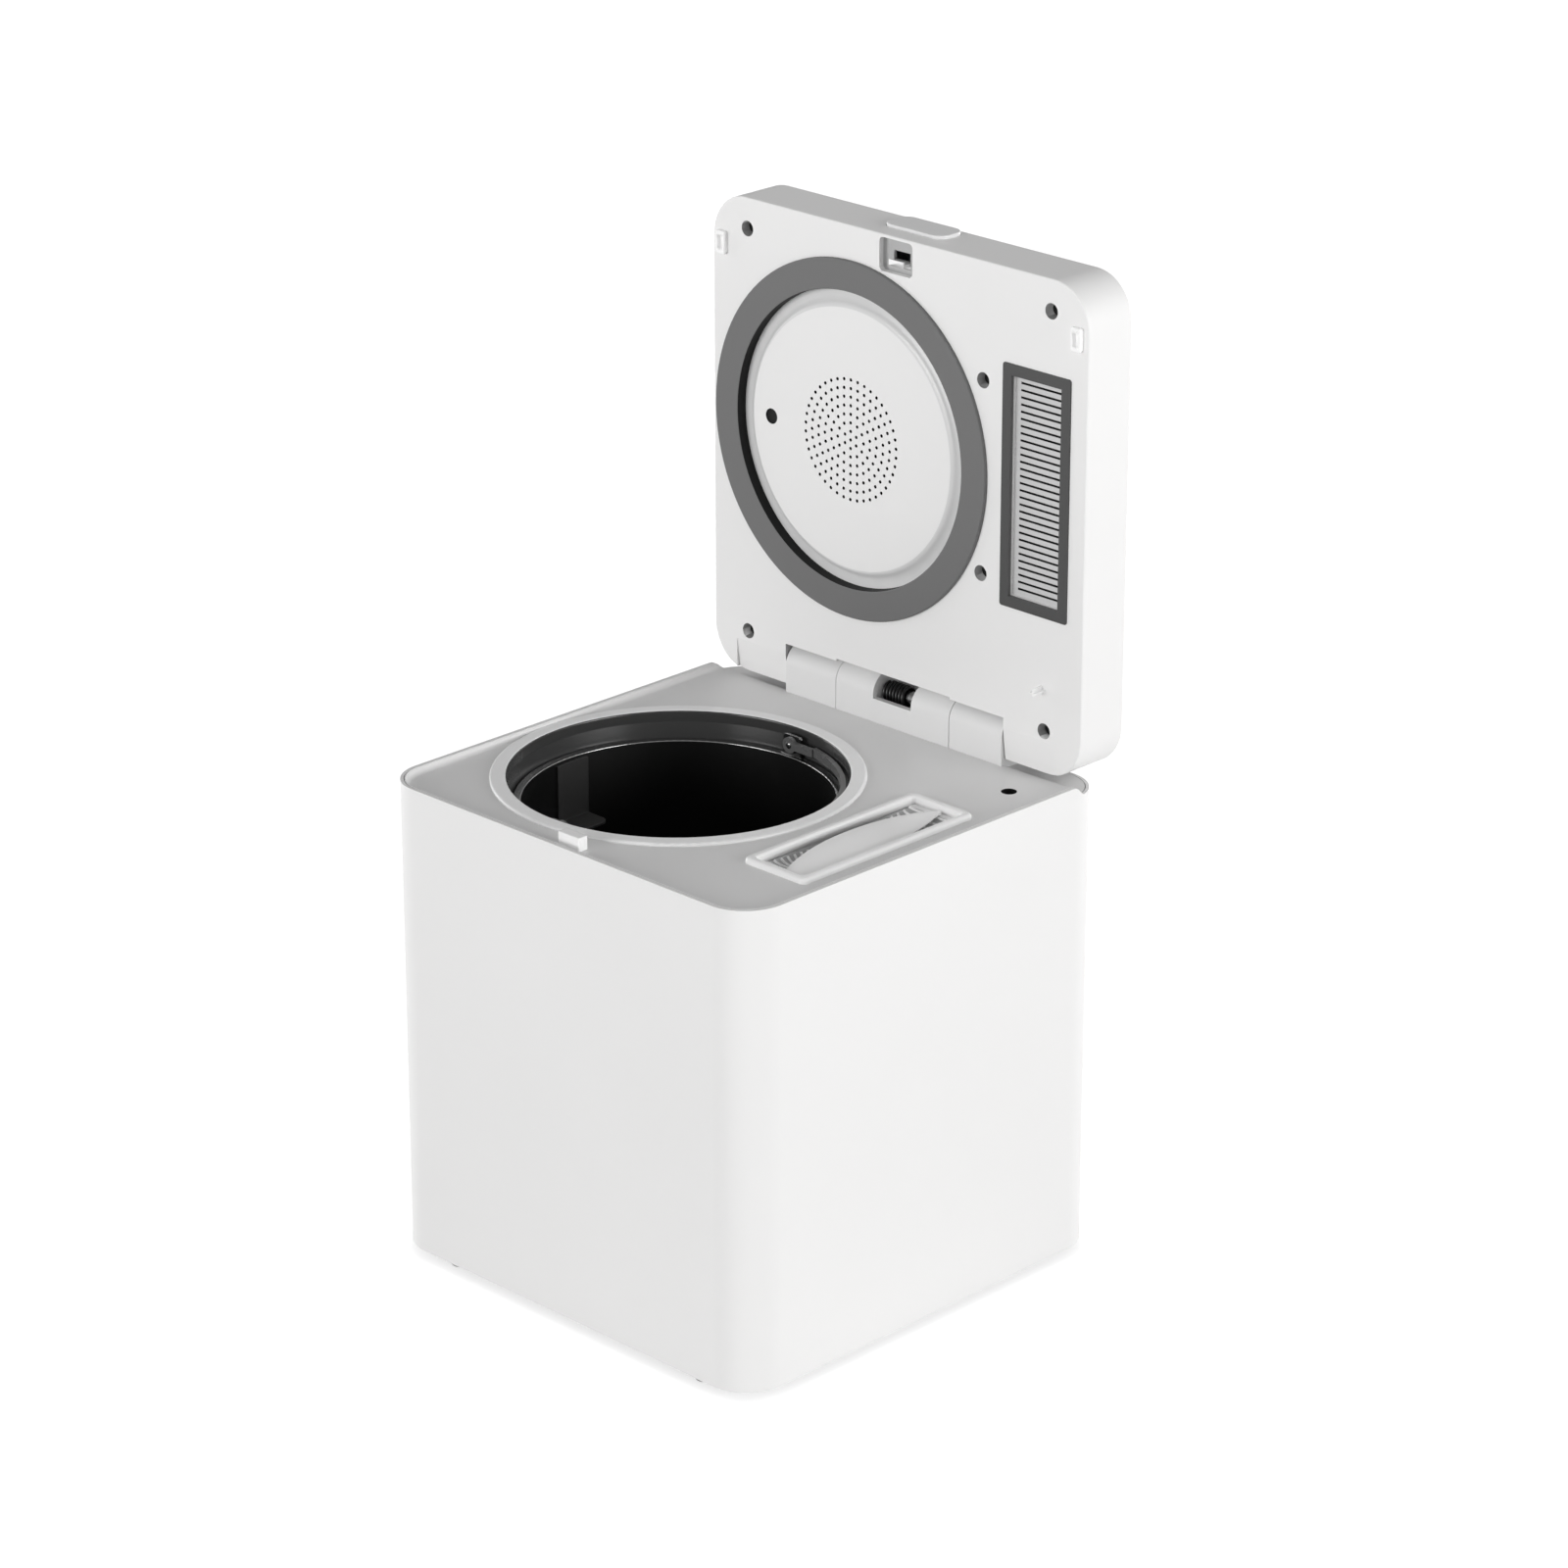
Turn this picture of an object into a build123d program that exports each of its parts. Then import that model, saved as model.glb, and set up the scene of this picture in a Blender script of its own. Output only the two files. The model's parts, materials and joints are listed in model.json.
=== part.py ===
"""Electric food waste composter: square body, lid standing open at 90 degrees, bucket, filter and drive.

Units are millimetres.  +Z is up, the front is -Y, the hinge is at the back (+Y).
The origin is on the floor, under the middle of the body.
"""
from build123d import *
import os
from math import cos, pi, radians, sin, sqrt

os.makedirs("parts", exist_ok=True)

# ---------------------------------------------------------------- driving dimensions
# body
body_width = 300.0
body_depth = 300.0
shell_height = 298.0
foot_stand = 6.0
corner_radius = 27.0
shell_wall = 2.0
shell_seam = 0.5            # dark joint between the shell and the deck inside it
# deck
deck_recess = 4.0           # how far the deck lies below the shell's top edge
deck_plate = 2.5
deck_rim = 0.6              # flat top of the deck's own rim
deck_cove = 3.2             # hollow fillet from the rim down to the deck
ledge_drop = 6.2            # the back ledge, under the lid's tail
ledge_inset = 30.5          # where the drop to the ledge starts, from the back face
ledge_run = 12.0
# opening and bucket: the collar takes the narrower of the two free spaces, across and along the body
collar_side_gap = 2.8       # from the left side face
collar_port_gap = 10.6      # to the filter port's frame
collar_front_gap = 20.8     # from the front face
collar_ledge_gap = 27.3     # to the drop to the back ledge
collar_width = 10.0
collar_rise = 2.0
throat_skirt = 5.0
throat_gap = 6.7            # from the throat's wall in to the bucket's
bucket_wall = 1.6
bucket_floor = 2.0
bucket_rim_width = 3.4
bucket_rim_height = 2.5
bucket_rim_below = 18.2     # rim top below the shell's top edge
rest_gap = 0.3              # between bodies that rest on or pass each other
pot_gap = 0.8
pot_wall = 2.7
pot_floor = 3.0
pot_flange_width = 6.5
coupling_space = 17.0       # between the pot floor and the bucket floor
drive_space = 6.0           # between the gearbox and the pot
# bail handle of the bucket
handle_band = 3.0
handle_height = 5.0
handle_gap = 1.0            # from the bucket's wall out to the folded handle
handle_below = 11.0         # folded handle's middle, below the shell's top edge
handle_arm = 2.5
ear_width = 14.0
ear_thickness = 2.0
pivot_radius = 2.0
running_gap = 0.05
# hinge
hinge_setback = 13.0        # axis, forward of the back face
hinge_rise = 13.0           # axis, above the shell's top edge
tower_radius = 12.8
tower_half_width = 88.7
tower_centre_half = 46.5
tower_seam = 0.4
hinge_pin_radius = 4.0
cut_clearance = 0.7         # sideways, between the tower and the lid's cut-out
cut_rise_outer = 13.7       # cut-out edge, above the axis
cut_rise_centre = 15.1
# lid
lid_thickness = 37.6
lid_wall = 2.2
lid_cover_wall = 2.6
lid_face_drop = 12.3        # inner face to hinge axis
panel_thickness = 3.5
lid_edge_round = 2.3
panel_edge_round = 1.0
tail_bevel_length = 20.0
tail_bevel_depth = 2.5
tail_bevel_end = 19.0       # from the side faces
# seal and vent plate
gasket_shift = 0.3          # to the right of the bucket's axis
gasket_inset = 0.3          # its outer edge, in from the collar's
gasket_overhang = 9.2       # its inner edge, in from the throat's wall
gasket_proud = 2.4
gasket_seat = 1.5
gasket_skirt = 2.0
gasket_round = 0.8
vent_depth = 4.6
vent_channel = 5.5          # between the gasket and the plate's slope
vent_slope_width = 5.6
vent_flange = 7.5           # reach of the plate behind the gasket
vent_screw_inset = 14.7     # from the edge of the plate's flat
vent_hole_radius = 1.05
vent_hole_pitch = 5.3
vent_rings = 7
# filter port
port_inset = 41.0           # middle of the port, from the right side face
port_offset = 1.7           # its middle, behind the bucket's
port_width = 38.0
port_length = 129.6
port_frame_wall = 5.2
port_frame_rise = 3.5
port_gasket_outer_width = 52.3
port_gasket_outer_length = 147.5
port_gasket_wall = 6.9
port_gasket_corner = 1.8
port_gasket_inset = 38.5
port_gasket_shift = 3.35    # up the open lid, from where the port meets it
port_gasket_proud = 0.9
port_gasket_seat = 1.5
louvre_slots = 30
louvre_pitch = 4.3
louvre_slot = 1.3
louvre_length = 31.5
louvre_depth = 3.4
cartridge_height = 114.5
cartridge_wall = 1.6
cartridge_gap = 0.4
scoop_depth = 9.0
cartridge_slots = 20
cartridge_pitch = 5.3
cartridge_slot = 2.2
pull_width = 23.4
pull_thickness = 1.6
pull_rise = 1.2             # above the deck
pull_shift = 1.7            # to the right of the port's middle
box_wall = 1.6
# latch
catch_width = 17.4
catch_length = 7.2
catch_inset = 8.5           # from the front face
catch_height = 8.5
latch_cup_width = 26.4
latch_cup_length = 20.5
latch_cup_inset = 1.9
latch_cup_depth = 5.5
latch_slot_width = 13.2
latch_slot_inset = 9.9
latch_slot_length = 10.1
button_width = 48.0
button_height = 21.3
button_radius = 8.0
button_base = 12.7          # behind the lid's inner face
button_proud = 2.0
button_gap = 0.4
# drive, from the base pan up: motor, gearbox floor, input gears, output gears, cover
motor_clearance = 2.5
gearbox_wall = 3.0
gear_gap = 2.0
input_face = 7.0
gear_step = 3.0
output_face = 9.0
cover_gap = 1.5
cover_thickness = 2.3
gear_module_output = 2.0
gear_module_input = 1.5
output_teeth = 40
pinion_teeth = 12
input_teeth = 40
gear_backlash = 0.5
motor_radius = 21.0
motor_length = 46.0
# places of what is fixed inside and at the back
pan_rise = 1.0
pan_floor = 2.5
pan_rim = 13.0
vent_inset = 64.0           # from the right side face
vent_rise = 144.0           # above the shell's bottom edge
vent_size = 56.0
inlet_inset = 55.0          # from the left side face
inlet_rise = 36.0
inlet_width = 30.0
inlet_height = 22.0
switch_inset_side = 31.0
switch_inset_back = 52.0
switch_hole_radius = 4.7
supply_inset_side = 38.0
supply_inset_front = 80.0
supply_width = 44.0
supply_length = 84.0
board_inset_back = 26.0
board_rise = 154.0
board_x = -25.0
board_width = 120.0
board_height = 90.0
hook_inset_side = 8.1
hook_inset_front = 31.0
# mounts and trim
foot_radius = 7.0
foot_inset = 46.0           # from the side faces
foot_inset_front = 13.3
screw_radius = 1.5
screw_head_radius = 3.3
screw_recess_radius = 4.8
screw_recess_depth = 8.0    # from the lid's inner face
screw_recess_wall = 1.8
screw_head_gap = 0.8
screw_head_height = 2.2

# ---------------------------------------------------------------- levels and places worked out from them
shell_bottom = foot_stand
shell_top = foot_stand + shell_height
deck_top = shell_top - deck_recess
deck_under = deck_top - deck_plate
ledge_top = shell_top - ledge_drop
half_width = body_width / 2
half_depth = body_depth / 2
hinge_y = half_depth - hinge_setback
hinge_z = shell_top + hinge_rise
lid_y = hinge_y - lid_face_drop
lid_zero_z = hinge_z + hinge_y
lid_top = lid_zero_z + half_depth
pan_bottom = shell_bottom + pan_rise
pan_top = pan_bottom + pan_floor
box_low = pan_top + motor_length + motor_clearance
box_floor = box_low + gearbox_wall
gear_low_in = box_floor + gear_gap
gear_high_in = gear_low_in + input_face
gear_low_out = gear_high_in + gear_step
gear_high_out = gear_low_out + output_face
box_high = gear_high_out + cover_gap
box_lid = box_high + cover_thickness
pot_bottom = box_lid + drive_space
pot_floor_top = pot_bottom + pot_floor
bucket_floor_under = pot_floor_top + coupling_space
bucket_floor_top = bucket_floor_under + bucket_floor
bucket_rim_top = shell_top - bucket_rim_below
pot_top = bucket_rim_top - bucket_rim_height - rest_gap
ledge_start = half_depth - ledge_inset
port_room = port_inset + port_width / 2 + port_frame_wall
room_across = body_width - collar_side_gap - collar_port_gap - port_room
room_along = body_depth - ledge_inset - collar_front_gap - collar_ledge_gap
collar_radius = min(room_across, room_along) / 2
throat_radius = collar_radius - collar_width
bucket_radius = throat_radius - throat_gap
bucket_x = collar_side_gap + collar_radius - half_width
bucket_y = collar_front_gap + collar_radius - half_depth
handle_inner_radius = bucket_radius + handle_gap
gasket_x = bucket_x + gasket_shift
gasket_outer_radius = collar_radius - gasket_inset
gasket_inner_radius = throat_radius - gasket_overhang
vent_slope_radius = gasket_inner_radius - vent_channel
vent_plateau_radius = vent_slope_radius - vent_slope_width
port_y = bucket_y + port_offset
pot_inner_radius = bucket_radius + pot_gap
pot_outer_radius = pot_inner_radius + pot_wall
pot_flange_radius = pot_outer_radius + pot_flange_width
deck_inset = shell_wall + shell_seam
port_x = half_width - port_inset
port_gasket_x = half_width - port_gasket_inset
cut_through = body_width    # longer than anything that is cut right across

# Lid sketches lie on its inner face: x as on the body, y up the open lid (forward when it is closed).
lid_face = Plane(origin=(0, lid_y, lid_zero_z), x_dir=(1, 0, 0), z_dir=(0, -1, 0))


def save(part, name):
    part.label = name
    export_step(part, f"parts/{name}.step")


def lid_plane(depth):
    """Plane parallel to the lid's inner face, depth mm into the lid (negative: proud of it)."""
    return lid_face.offset(-depth)


def gear_outline(teeth, module, turn=0.0):
    """Corner points of a spur gear whose teeth have straight flanks."""
    pitch = teeth * module / 2
    tip = pitch + 0.85 * module
    root = pitch - 1.2 * module
    half_tooth = (pi * module / 4 - gear_backlash / 2) / pitch
    half_tip = half_tooth * 0.45
    points = []
    for tooth in range(teeth):
        middle = 2 * pi * tooth / teeth + radians(turn)
        for radius, angle in ((root, -half_tooth), (pitch, -half_tooth), (tip, -half_tip),
                              (tip, half_tip), (pitch, half_tooth), (root, half_tooth)):
            points.append((radius * cos(middle + angle), radius * sin(middle + angle)))
    return points


# What is cut away above the back ledge, drawn on the YZ plane.
drop_start = (ledge_start, shell_top)
drop_end = (ledge_start + ledge_run, ledge_top)
drop_bend = ledge_run * 0.5
with BuildSketch(Plane.YZ) as rear_drop:
    with BuildLine():
        Bezier(drop_start, (drop_start[0] + drop_bend, drop_start[1]),
               (drop_end[0] - drop_bend, drop_end[1]), drop_end)
        Polyline(drop_end, (half_depth + 10, ledge_top), (half_depth + 10, shell_top + 10),
                 (ledge_start, shell_top + 10), drop_start)
    make_face()

# ================================================================ body casing
vent_x = half_width - vent_inset
vent_z = shell_bottom + vent_rise
inlet_x = inlet_inset - half_width
inlet_z = shell_bottom + inlet_rise

with BuildPart() as outer_shell:
    with BuildSketch(Plane.XY.offset(shell_bottom)):
        RectangleRounded(body_width, body_depth, corner_radius)
        RectangleRounded(body_width - 2 * shell_wall, body_depth - 2 * shell_wall,
                         corner_radius - shell_wall, mode=Mode.SUBTRACT)
    extrude(amount=shell_height)
    extrude(rear_drop.sketch, amount=half_width + 10, both=True, mode=Mode.SUBTRACT)
    with BuildSketch(Plane.XZ.offset(-half_depth - 5)):
        with Locations((inlet_x, inlet_z)):
            RectangleRounded(inlet_width, inlet_height, 2)
        with Locations((vent_x, vent_z)):
            RectangleRounded(vent_size, vent_size, 4)
    extrude(amount=10, mode=Mode.SUBTRACT)
save(outer_shell.part, "outer_shell")

# deck with collar, throat skirt and the openings for filter, hinge tower and lid switch
deck_width = body_width - 2 * deck_inset
deck_depth = body_depth - 2 * deck_inset
deck_radius = corner_radius - deck_inset
switch_x = half_width - switch_inset_side
switch_y = half_depth - switch_inset_back

collar_profile = Plane(origin=(bucket_x, bucket_y, 0), x_dir=(1, 0, 0), z_dir=(0, -1, 0))
bucket_axis = Axis((bucket_x, bucket_y, 0), (0, 0, 1))
skirt_wall = 2.4
pocket_front = -(deck_depth / 2 - 3)
pocket_back = ledge_start - 2.5
tower_front = hinge_y - tower_radius

with BuildPart() as top_deck:
    with BuildSketch(Plane.XY.offset(ledge_top - deck_plate)):
        RectangleRounded(deck_width, deck_depth, deck_radius)
    extrude(amount=shell_top - ledge_top + deck_plate)
    with BuildSketch(Plane.XY.offset(deck_top)):
        RectangleRounded(deck_width - 2 * deck_rim, deck_depth - 2 * deck_rim, deck_radius - deck_rim)
    extrude(amount=deck_recess + 1, mode=Mode.SUBTRACT)
    fillet(top_deck.edges().filter_by_position(Axis.Z, deck_top - 0.01, deck_top + 0.01), deck_cove)
    extrude(rear_drop.sketch, amount=half_width + 10, both=True, mode=Mode.SUBTRACT)
    with BuildSketch(Plane.XY.offset(ledge_top - deck_plate - 1)):
        with Locations((0, (pocket_front + pocket_back) / 2)):
            Rectangle(deck_width - 6, pocket_back - pocket_front)
    extrude(amount=deck_under - ledge_top + deck_plate + 1, mode=Mode.SUBTRACT)
    with BuildSketch(collar_profile) as collar:
        with BuildLine():
            Polyline((throat_radius, deck_top - throat_skirt),
                     (throat_radius + skirt_wall, deck_top - throat_skirt),
                     (throat_radius + skirt_wall, deck_top - 2), (collar_radius, deck_top - 2),
                     (collar_radius, deck_top + collar_rise), (throat_radius, deck_top + collar_rise),
                     close=True)
        make_face()
        collar_corners = collar.vertices().group_by(Axis.Y)[-1].sort_by(Axis.X)
        fillet(collar_corners[1], collar_rise * 0.9)
        fillet(collar.vertices().group_by(Axis.Y)[-1].sort_by(Axis.X)[0], collar_rise * 0.75)
    revolve(axis=bucket_axis)
    with BuildSketch(Plane.XY.offset(deck_top - throat_skirt - 10)):
        with Locations((bucket_x, bucket_y)):
            Circle(throat_radius)
    extrude(amount=throat_skirt + collar_rise + 10 - 1.5, mode=Mode.SUBTRACT)
    with BuildSketch(Plane.XY.offset(deck_under - 10)):
        with Locations((port_x, port_y)):
            RectangleRounded(port_width, port_length, 2)
        with Locations((switch_x, switch_y)):
            Circle(switch_hole_radius)
        with Locations((0, tower_front - 0.2 + 30)):
            Rectangle(2 * tower_half_width + 0.4, 60)
    extrude(amount=deck_plate + 20, mode=Mode.SUBTRACT)
save(top_deck.part, "top_deck")

# white block on the deck that the lid's hook catches behind
catch_y = catch_inset + catch_length / 2 - half_depth
barb_level = shell_top + 0.7
with BuildPart() as latch_catch:
    with BuildSketch(Plane.XY.offset(deck_top)):
        with Locations((0, catch_y)):
            RectangleRounded(catch_width, catch_length, 1.0)
    extrude(amount=catch_height)
    fillet(latch_catch.faces().sort_by(Axis.Z)[-1].edges(), 0.6)
    with BuildSketch(Plane.XY.offset(barb_level - 1.2)):
        with Locations((0, catch_y + catch_length / 2)):
            Rectangle(13.0, 4.4)
    extrude(amount=3.2, mode=Mode.SUBTRACT)
save(latch_catch.part, "latch_catch")

# base pan, feet and screws
pan_width = body_width - 2 * shell_wall - 0.6
pan_depth = body_depth - 2 * shell_wall - 0.6
pan_radius = corner_radius - shell_wall - 0.3
leg_spread = 66.0
leg_places = [(bucket_x + i * leg_spread, bucket_y + j * leg_spread) for i in (-1, 1) for j in (-1, 1)]
with BuildPart() as base_pan:
    with BuildSketch(Plane.XY.offset(pan_bottom)):
        RectangleRounded(pan_width, pan_depth, pan_radius)
    extrude(amount=pan_rim)
    with BuildSketch(Plane.XY.offset(pan_top)):
        RectangleRounded(pan_width - 4, pan_depth - 4, pan_radius - 2)
    extrude(amount=20, mode=Mode.SUBTRACT)
    with BuildSketch(Plane.XY.offset(pan_bottom - 1)):
        with Locations(leg_places):
            Circle(screw_radius + 0.1)
        with Locations((half_width - 45, half_depth - 90)):
            with GridLocations(0, 9, 1, 7):
                SlotOverall(44, 4)
    extrude(amount=10, mode=Mode.SUBTRACT)
save(base_pan.part, "base_pan")

foot_x = half_width - foot_inset
foot_y = half_depth - foot_inset_front
foot_places = [(i * foot_x, j * foot_y) for i in (-1, 1) for j in (-1, 1)]
with BuildPart() as feet:
    with BuildSketch(Plane.XY):
        with Locations(foot_places):
            Circle(foot_radius)
    extrude(amount=pan_bottom)
    chamfer(feet.edges().filter_by_position(Axis.Z, -0.01, 0.01), 0.8)
save(feet.part, "feet")

with BuildPart() as base_screws:
    with BuildSketch(Plane.XY.offset(pan_bottom - 2.4)):
        with Locations(leg_places):
            Circle(screw_head_radius)
    extrude(amount=2.4)
    with BuildSketch(Plane.XY.offset(pan_bottom - 0.5)):
        with Locations(leg_places):
            Circle(screw_radius)
    extrude(amount=14)
    with BuildSketch(Plane.XY.offset(pan_bottom - 2.4)):
        with Locations(leg_places):
            RegularPolygon(1.5, 6)
    extrude(amount=1.3, mode=Mode.SUBTRACT)
save(base_screws.part, "base_screws")

# power inlet, exhaust grille
with BuildPart() as power_inlet:
    with BuildSketch(Plane.XZ.offset(-half_depth)):
        with Locations((inlet_x, inlet_z)):
            RectangleRounded(inlet_width + 8, inlet_height + 6, 3)
    extrude(amount=-1.5)
    with BuildSketch(Plane.XZ.offset(-half_depth)):
        with Locations((inlet_x, inlet_z)):
            RectangleRounded(inlet_width - 0.4, inlet_height - 0.4, 2)
    extrude(amount=24)
    with BuildSketch(Plane.XZ.offset(-half_depth - 2)):
        with Locations((inlet_x, inlet_z)):
            RectangleRounded(inlet_width - 5, inlet_height - 5, 3)
    extrude(amount=20, mode=Mode.SUBTRACT)
    with BuildSketch(Plane.XZ.offset(-half_depth + 18)):
        with Locations((inlet_x - 7, inlet_z - 2), (inlet_x, inlet_z + 2), (inlet_x + 7, inlet_z - 2)):
            Rectangle(2, 5)
    extrude(amount=-14)
save(power_inlet.part, "power_inlet")

with BuildPart() as exhaust_grille:
    with BuildSketch(Plane.XZ.offset(-half_depth + shell_wall)):
        with Locations((vent_x, vent_z)):
            RectangleRounded(vent_size + 6, vent_size + 6, 4)
    extrude(amount=2)
    with BuildSketch(Plane.XZ.offset(-half_depth + shell_wall)):
        with Locations((vent_x, vent_z)):
            RectangleRounded(vent_size - 0.4, vent_size - 0.4, 3.8)
    extrude(amount=-shell_wall)
    with BuildSketch(Plane.XZ.offset(-half_depth - 1)):
        with Locations((vent_x, vent_z)):
            with GridLocations(0, 6, 1, 8):
                SlotOverall(46, 3.2)
    extrude(amount=10, mode=Mode.SUBTRACT)
save(exhaust_grille.part, "exhaust_grille")

# ================================================================ hinge tower
tower_low = ledge_top - 18.0
tower_step = ledge_top + 0.4
post_inner = tower_centre_half + tower_seam / 2
with BuildSketch(Plane.YZ) as tower_profile:
    with Locations((hinge_y, hinge_z)):
        Circle(tower_radius)
    with Locations((hinge_y, (tower_step + hinge_z) / 2)):
        Rectangle(2 * tower_radius, hinge_z - tower_step)
    with Locations(((tower_front + half_depth - shell_wall - 0.3) / 2, (tower_low + tower_step) / 2)):
        Rectangle(half_depth - shell_wall - 0.3 - tower_front, tower_step - tower_low)
with BuildSketch(Plane.YZ) as flange_profile:
    with Locations((hinge_y - 4, ledge_top - deck_plate - 2)):
        Rectangle(20, 4)

with BuildPart() as hinge_posts:
    for side in (-1, 1):
        post = Plane.YZ.offset(side * post_inner if side > 0 else -tower_half_width)
        with BuildSketch(post):
            add(tower_profile.sketch_local)
        extrude(amount=tower_half_width - post_inner)
        foot = Plane.YZ.offset(tower_half_width - 1 if side > 0 else -tower_half_width - 9)
        with BuildSketch(foot):
            add(flange_profile.sketch_local)
        extrude(amount=10)
    with BuildSketch(Plane.YZ.offset(-cut_through / 2)):
        with Locations((hinge_y, hinge_z)):
            Circle(hinge_pin_radius)
    extrude(amount=cut_through, mode=Mode.SUBTRACT)
save(hinge_posts.part, "hinge_posts")

notch_half = 15.5
notch_base = hinge_z - 2
notch_height = 24.0
with BuildPart() as hinge_cover:
    with BuildSketch(Plane.YZ.offset(-(tower_centre_half - tower_seam / 2))):
        add(tower_profile.sketch_local)
    extrude(amount=2 * tower_centre_half - tower_seam)
    with BuildSketch(Plane.YZ.offset(-cut_through / 2)):
        with Locations((hinge_y, hinge_z)):
            Circle(hinge_pin_radius + running_gap)
    extrude(amount=cut_through, mode=Mode.SUBTRACT)
    with BuildSketch(Plane.YZ.offset(-notch_half)):
        with Locations((hinge_y - tower_radius + 0.8, notch_base + notch_height / 2)):
            Rectangle(3.3 * tower_radius, notch_height)
        with Locations((hinge_y, hinge_z)):
            Circle(tower_radius * 0.72)
    extrude(amount=2 * notch_half, mode=Mode.SUBTRACT)
save(hinge_cover.part, "hinge_cover")

pin_half = tower_half_width + 10.3
with BuildPart() as hinge_pin:
    with BuildSketch(Plane.YZ.offset(-pin_half)):
        with Locations((hinge_y, hinge_z)):
            Circle(hinge_pin_radius)
    extrude(amount=2 * pin_half)
    chamfer(hinge_pin.edges().filter_by(GeomType.CIRCLE), 0.6)
save(hinge_pin.part, "hinge_pin")

spring_wire = 1.1
spring_radius = hinge_pin_radius + 1.8
spring_start = 2.0 - notch_half
spring_length = 17.0
with BuildPart() as hinge_spring:
    with BuildLine() as coil:
        Helix(2 * spring_wire + 0.3, spring_length, spring_radius,
              center=(spring_start, hinge_y, hinge_z), direction=(1, 0, 0))
    with BuildSketch(Plane(origin=coil.line @ 0, z_dir=coil.line % 0)):
        Circle(spring_wire)
    sweep(is_frenet=True)
save(hinge_spring.part, "hinge_spring")

# ================================================================ throat, pot, heater, insulation
with BuildPart() as throat_ring:
    with BuildSketch(collar_profile):
        with BuildLine():
            Polyline((throat_radius - 2.3, pot_top), (throat_radius + skirt_wall + 0.9, pot_top),
                     (throat_radius + skirt_wall, deck_top - throat_skirt),
                     (throat_radius - 0.2, deck_top - throat_skirt), close=True)
        make_face()
    revolve(axis=bucket_axis)
save(throat_ring.part, "throat_ring")

seal_radius = 12.0
output_radius = 6.0
with BuildPart() as heater_pot:
    with BuildSketch(collar_profile):
        with BuildLine():
            Polyline((seal_radius, pot_bottom), (pot_outer_radius, pot_bottom),
                     (pot_outer_radius, pot_top - 3), (pot_flange_radius, pot_top - 3),
                     (pot_flange_radius, pot_top), (pot_inner_radius, pot_top),
                     (pot_inner_radius, pot_floor_top), (seal_radius, pot_floor_top), close=True)
        make_face()
    revolve(axis=bucket_axis)
    fillet(heater_pot.edges().filter_by(GeomType.CIRCLE).filter_by(
        lambda e: abs(e.radius - pot_outer_radius) < 0.01 and e.center().Z < pot_bottom + 0.1), 2.0)
save(heater_pot.part, "heater_pot")

with BuildPart() as shaft_seal:
    with BuildSketch(Plane.XY.offset(pot_bottom)):
        with Locations((bucket_x, bucket_y)):
            Circle(seal_radius)
            Circle(output_radius + 0.1, mode=Mode.SUBTRACT)
    extrude(amount=4)
save(shaft_seal.part, "shaft_seal")

band_low = pot_bottom + 9
band_high = band_low + (pot_top - pot_bottom) * 0.32
with BuildPart() as heater_band:
    with BuildSketch(Plane.XY.offset(band_low)):
        with Locations((bucket_x, bucket_y)):
            Circle(pot_outer_radius + 1.5)
            Circle(pot_outer_radius, mode=Mode.SUBTRACT)
        with Locations((bucket_x, bucket_y + pot_outer_radius)):
            Rectangle(3, 6, mode=Mode.SUBTRACT)
    extrude(amount=band_high - band_low)
save(heater_band.part, "heater_band")

sleeve_inner = pot_outer_radius + 2.0
sleeve_outer = sleeve_inner + 6.5
with BuildPart() as insulation_sleeve:
    with BuildSketch(Plane.XY.offset(pot_bottom)):
        with Locations((bucket_x, bucket_y)):
            Circle(sleeve_outer)
            Circle(sleeve_inner, mode=Mode.SUBTRACT)
    extrude(amount=pot_top - 3 - pot_bottom - 3)
save(insulation_sleeve.part, "insulation_sleeve")

stand_plate = 3.0
with BuildPart() as temperature_probe:
    with BuildSketch(Plane.XY.offset(pot_bottom)):
        with Locations((bucket_x, bucket_y + pot_inner_radius - 42)):
            Circle(4)
    extrude(amount=-stand_plate)
save(temperature_probe.part, "temperature_probe")

stand_top = pot_bottom
with BuildPart() as pot_stand:
    with BuildSketch(Plane.XY.offset(stand_top - stand_plate)):
        with Locations((bucket_x, bucket_y)):
            Circle(sleeve_outer)
            Circle(60, mode=Mode.SUBTRACT)
    extrude(amount=stand_plate)
    with BuildSketch(Plane.XY.offset(pan_top)):
        with Locations(leg_places):
            Rectangle(12, 12)
    extrude(amount=stand_top - pan_top - 0.5)
    with BuildSketch(Plane.XY.offset(pan_top - 1)):
        with Locations(leg_places):
            Circle(screw_radius)
    extrude(amount=16, mode=Mode.SUBTRACT)
save(pot_stand.part, "pot_stand")

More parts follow.
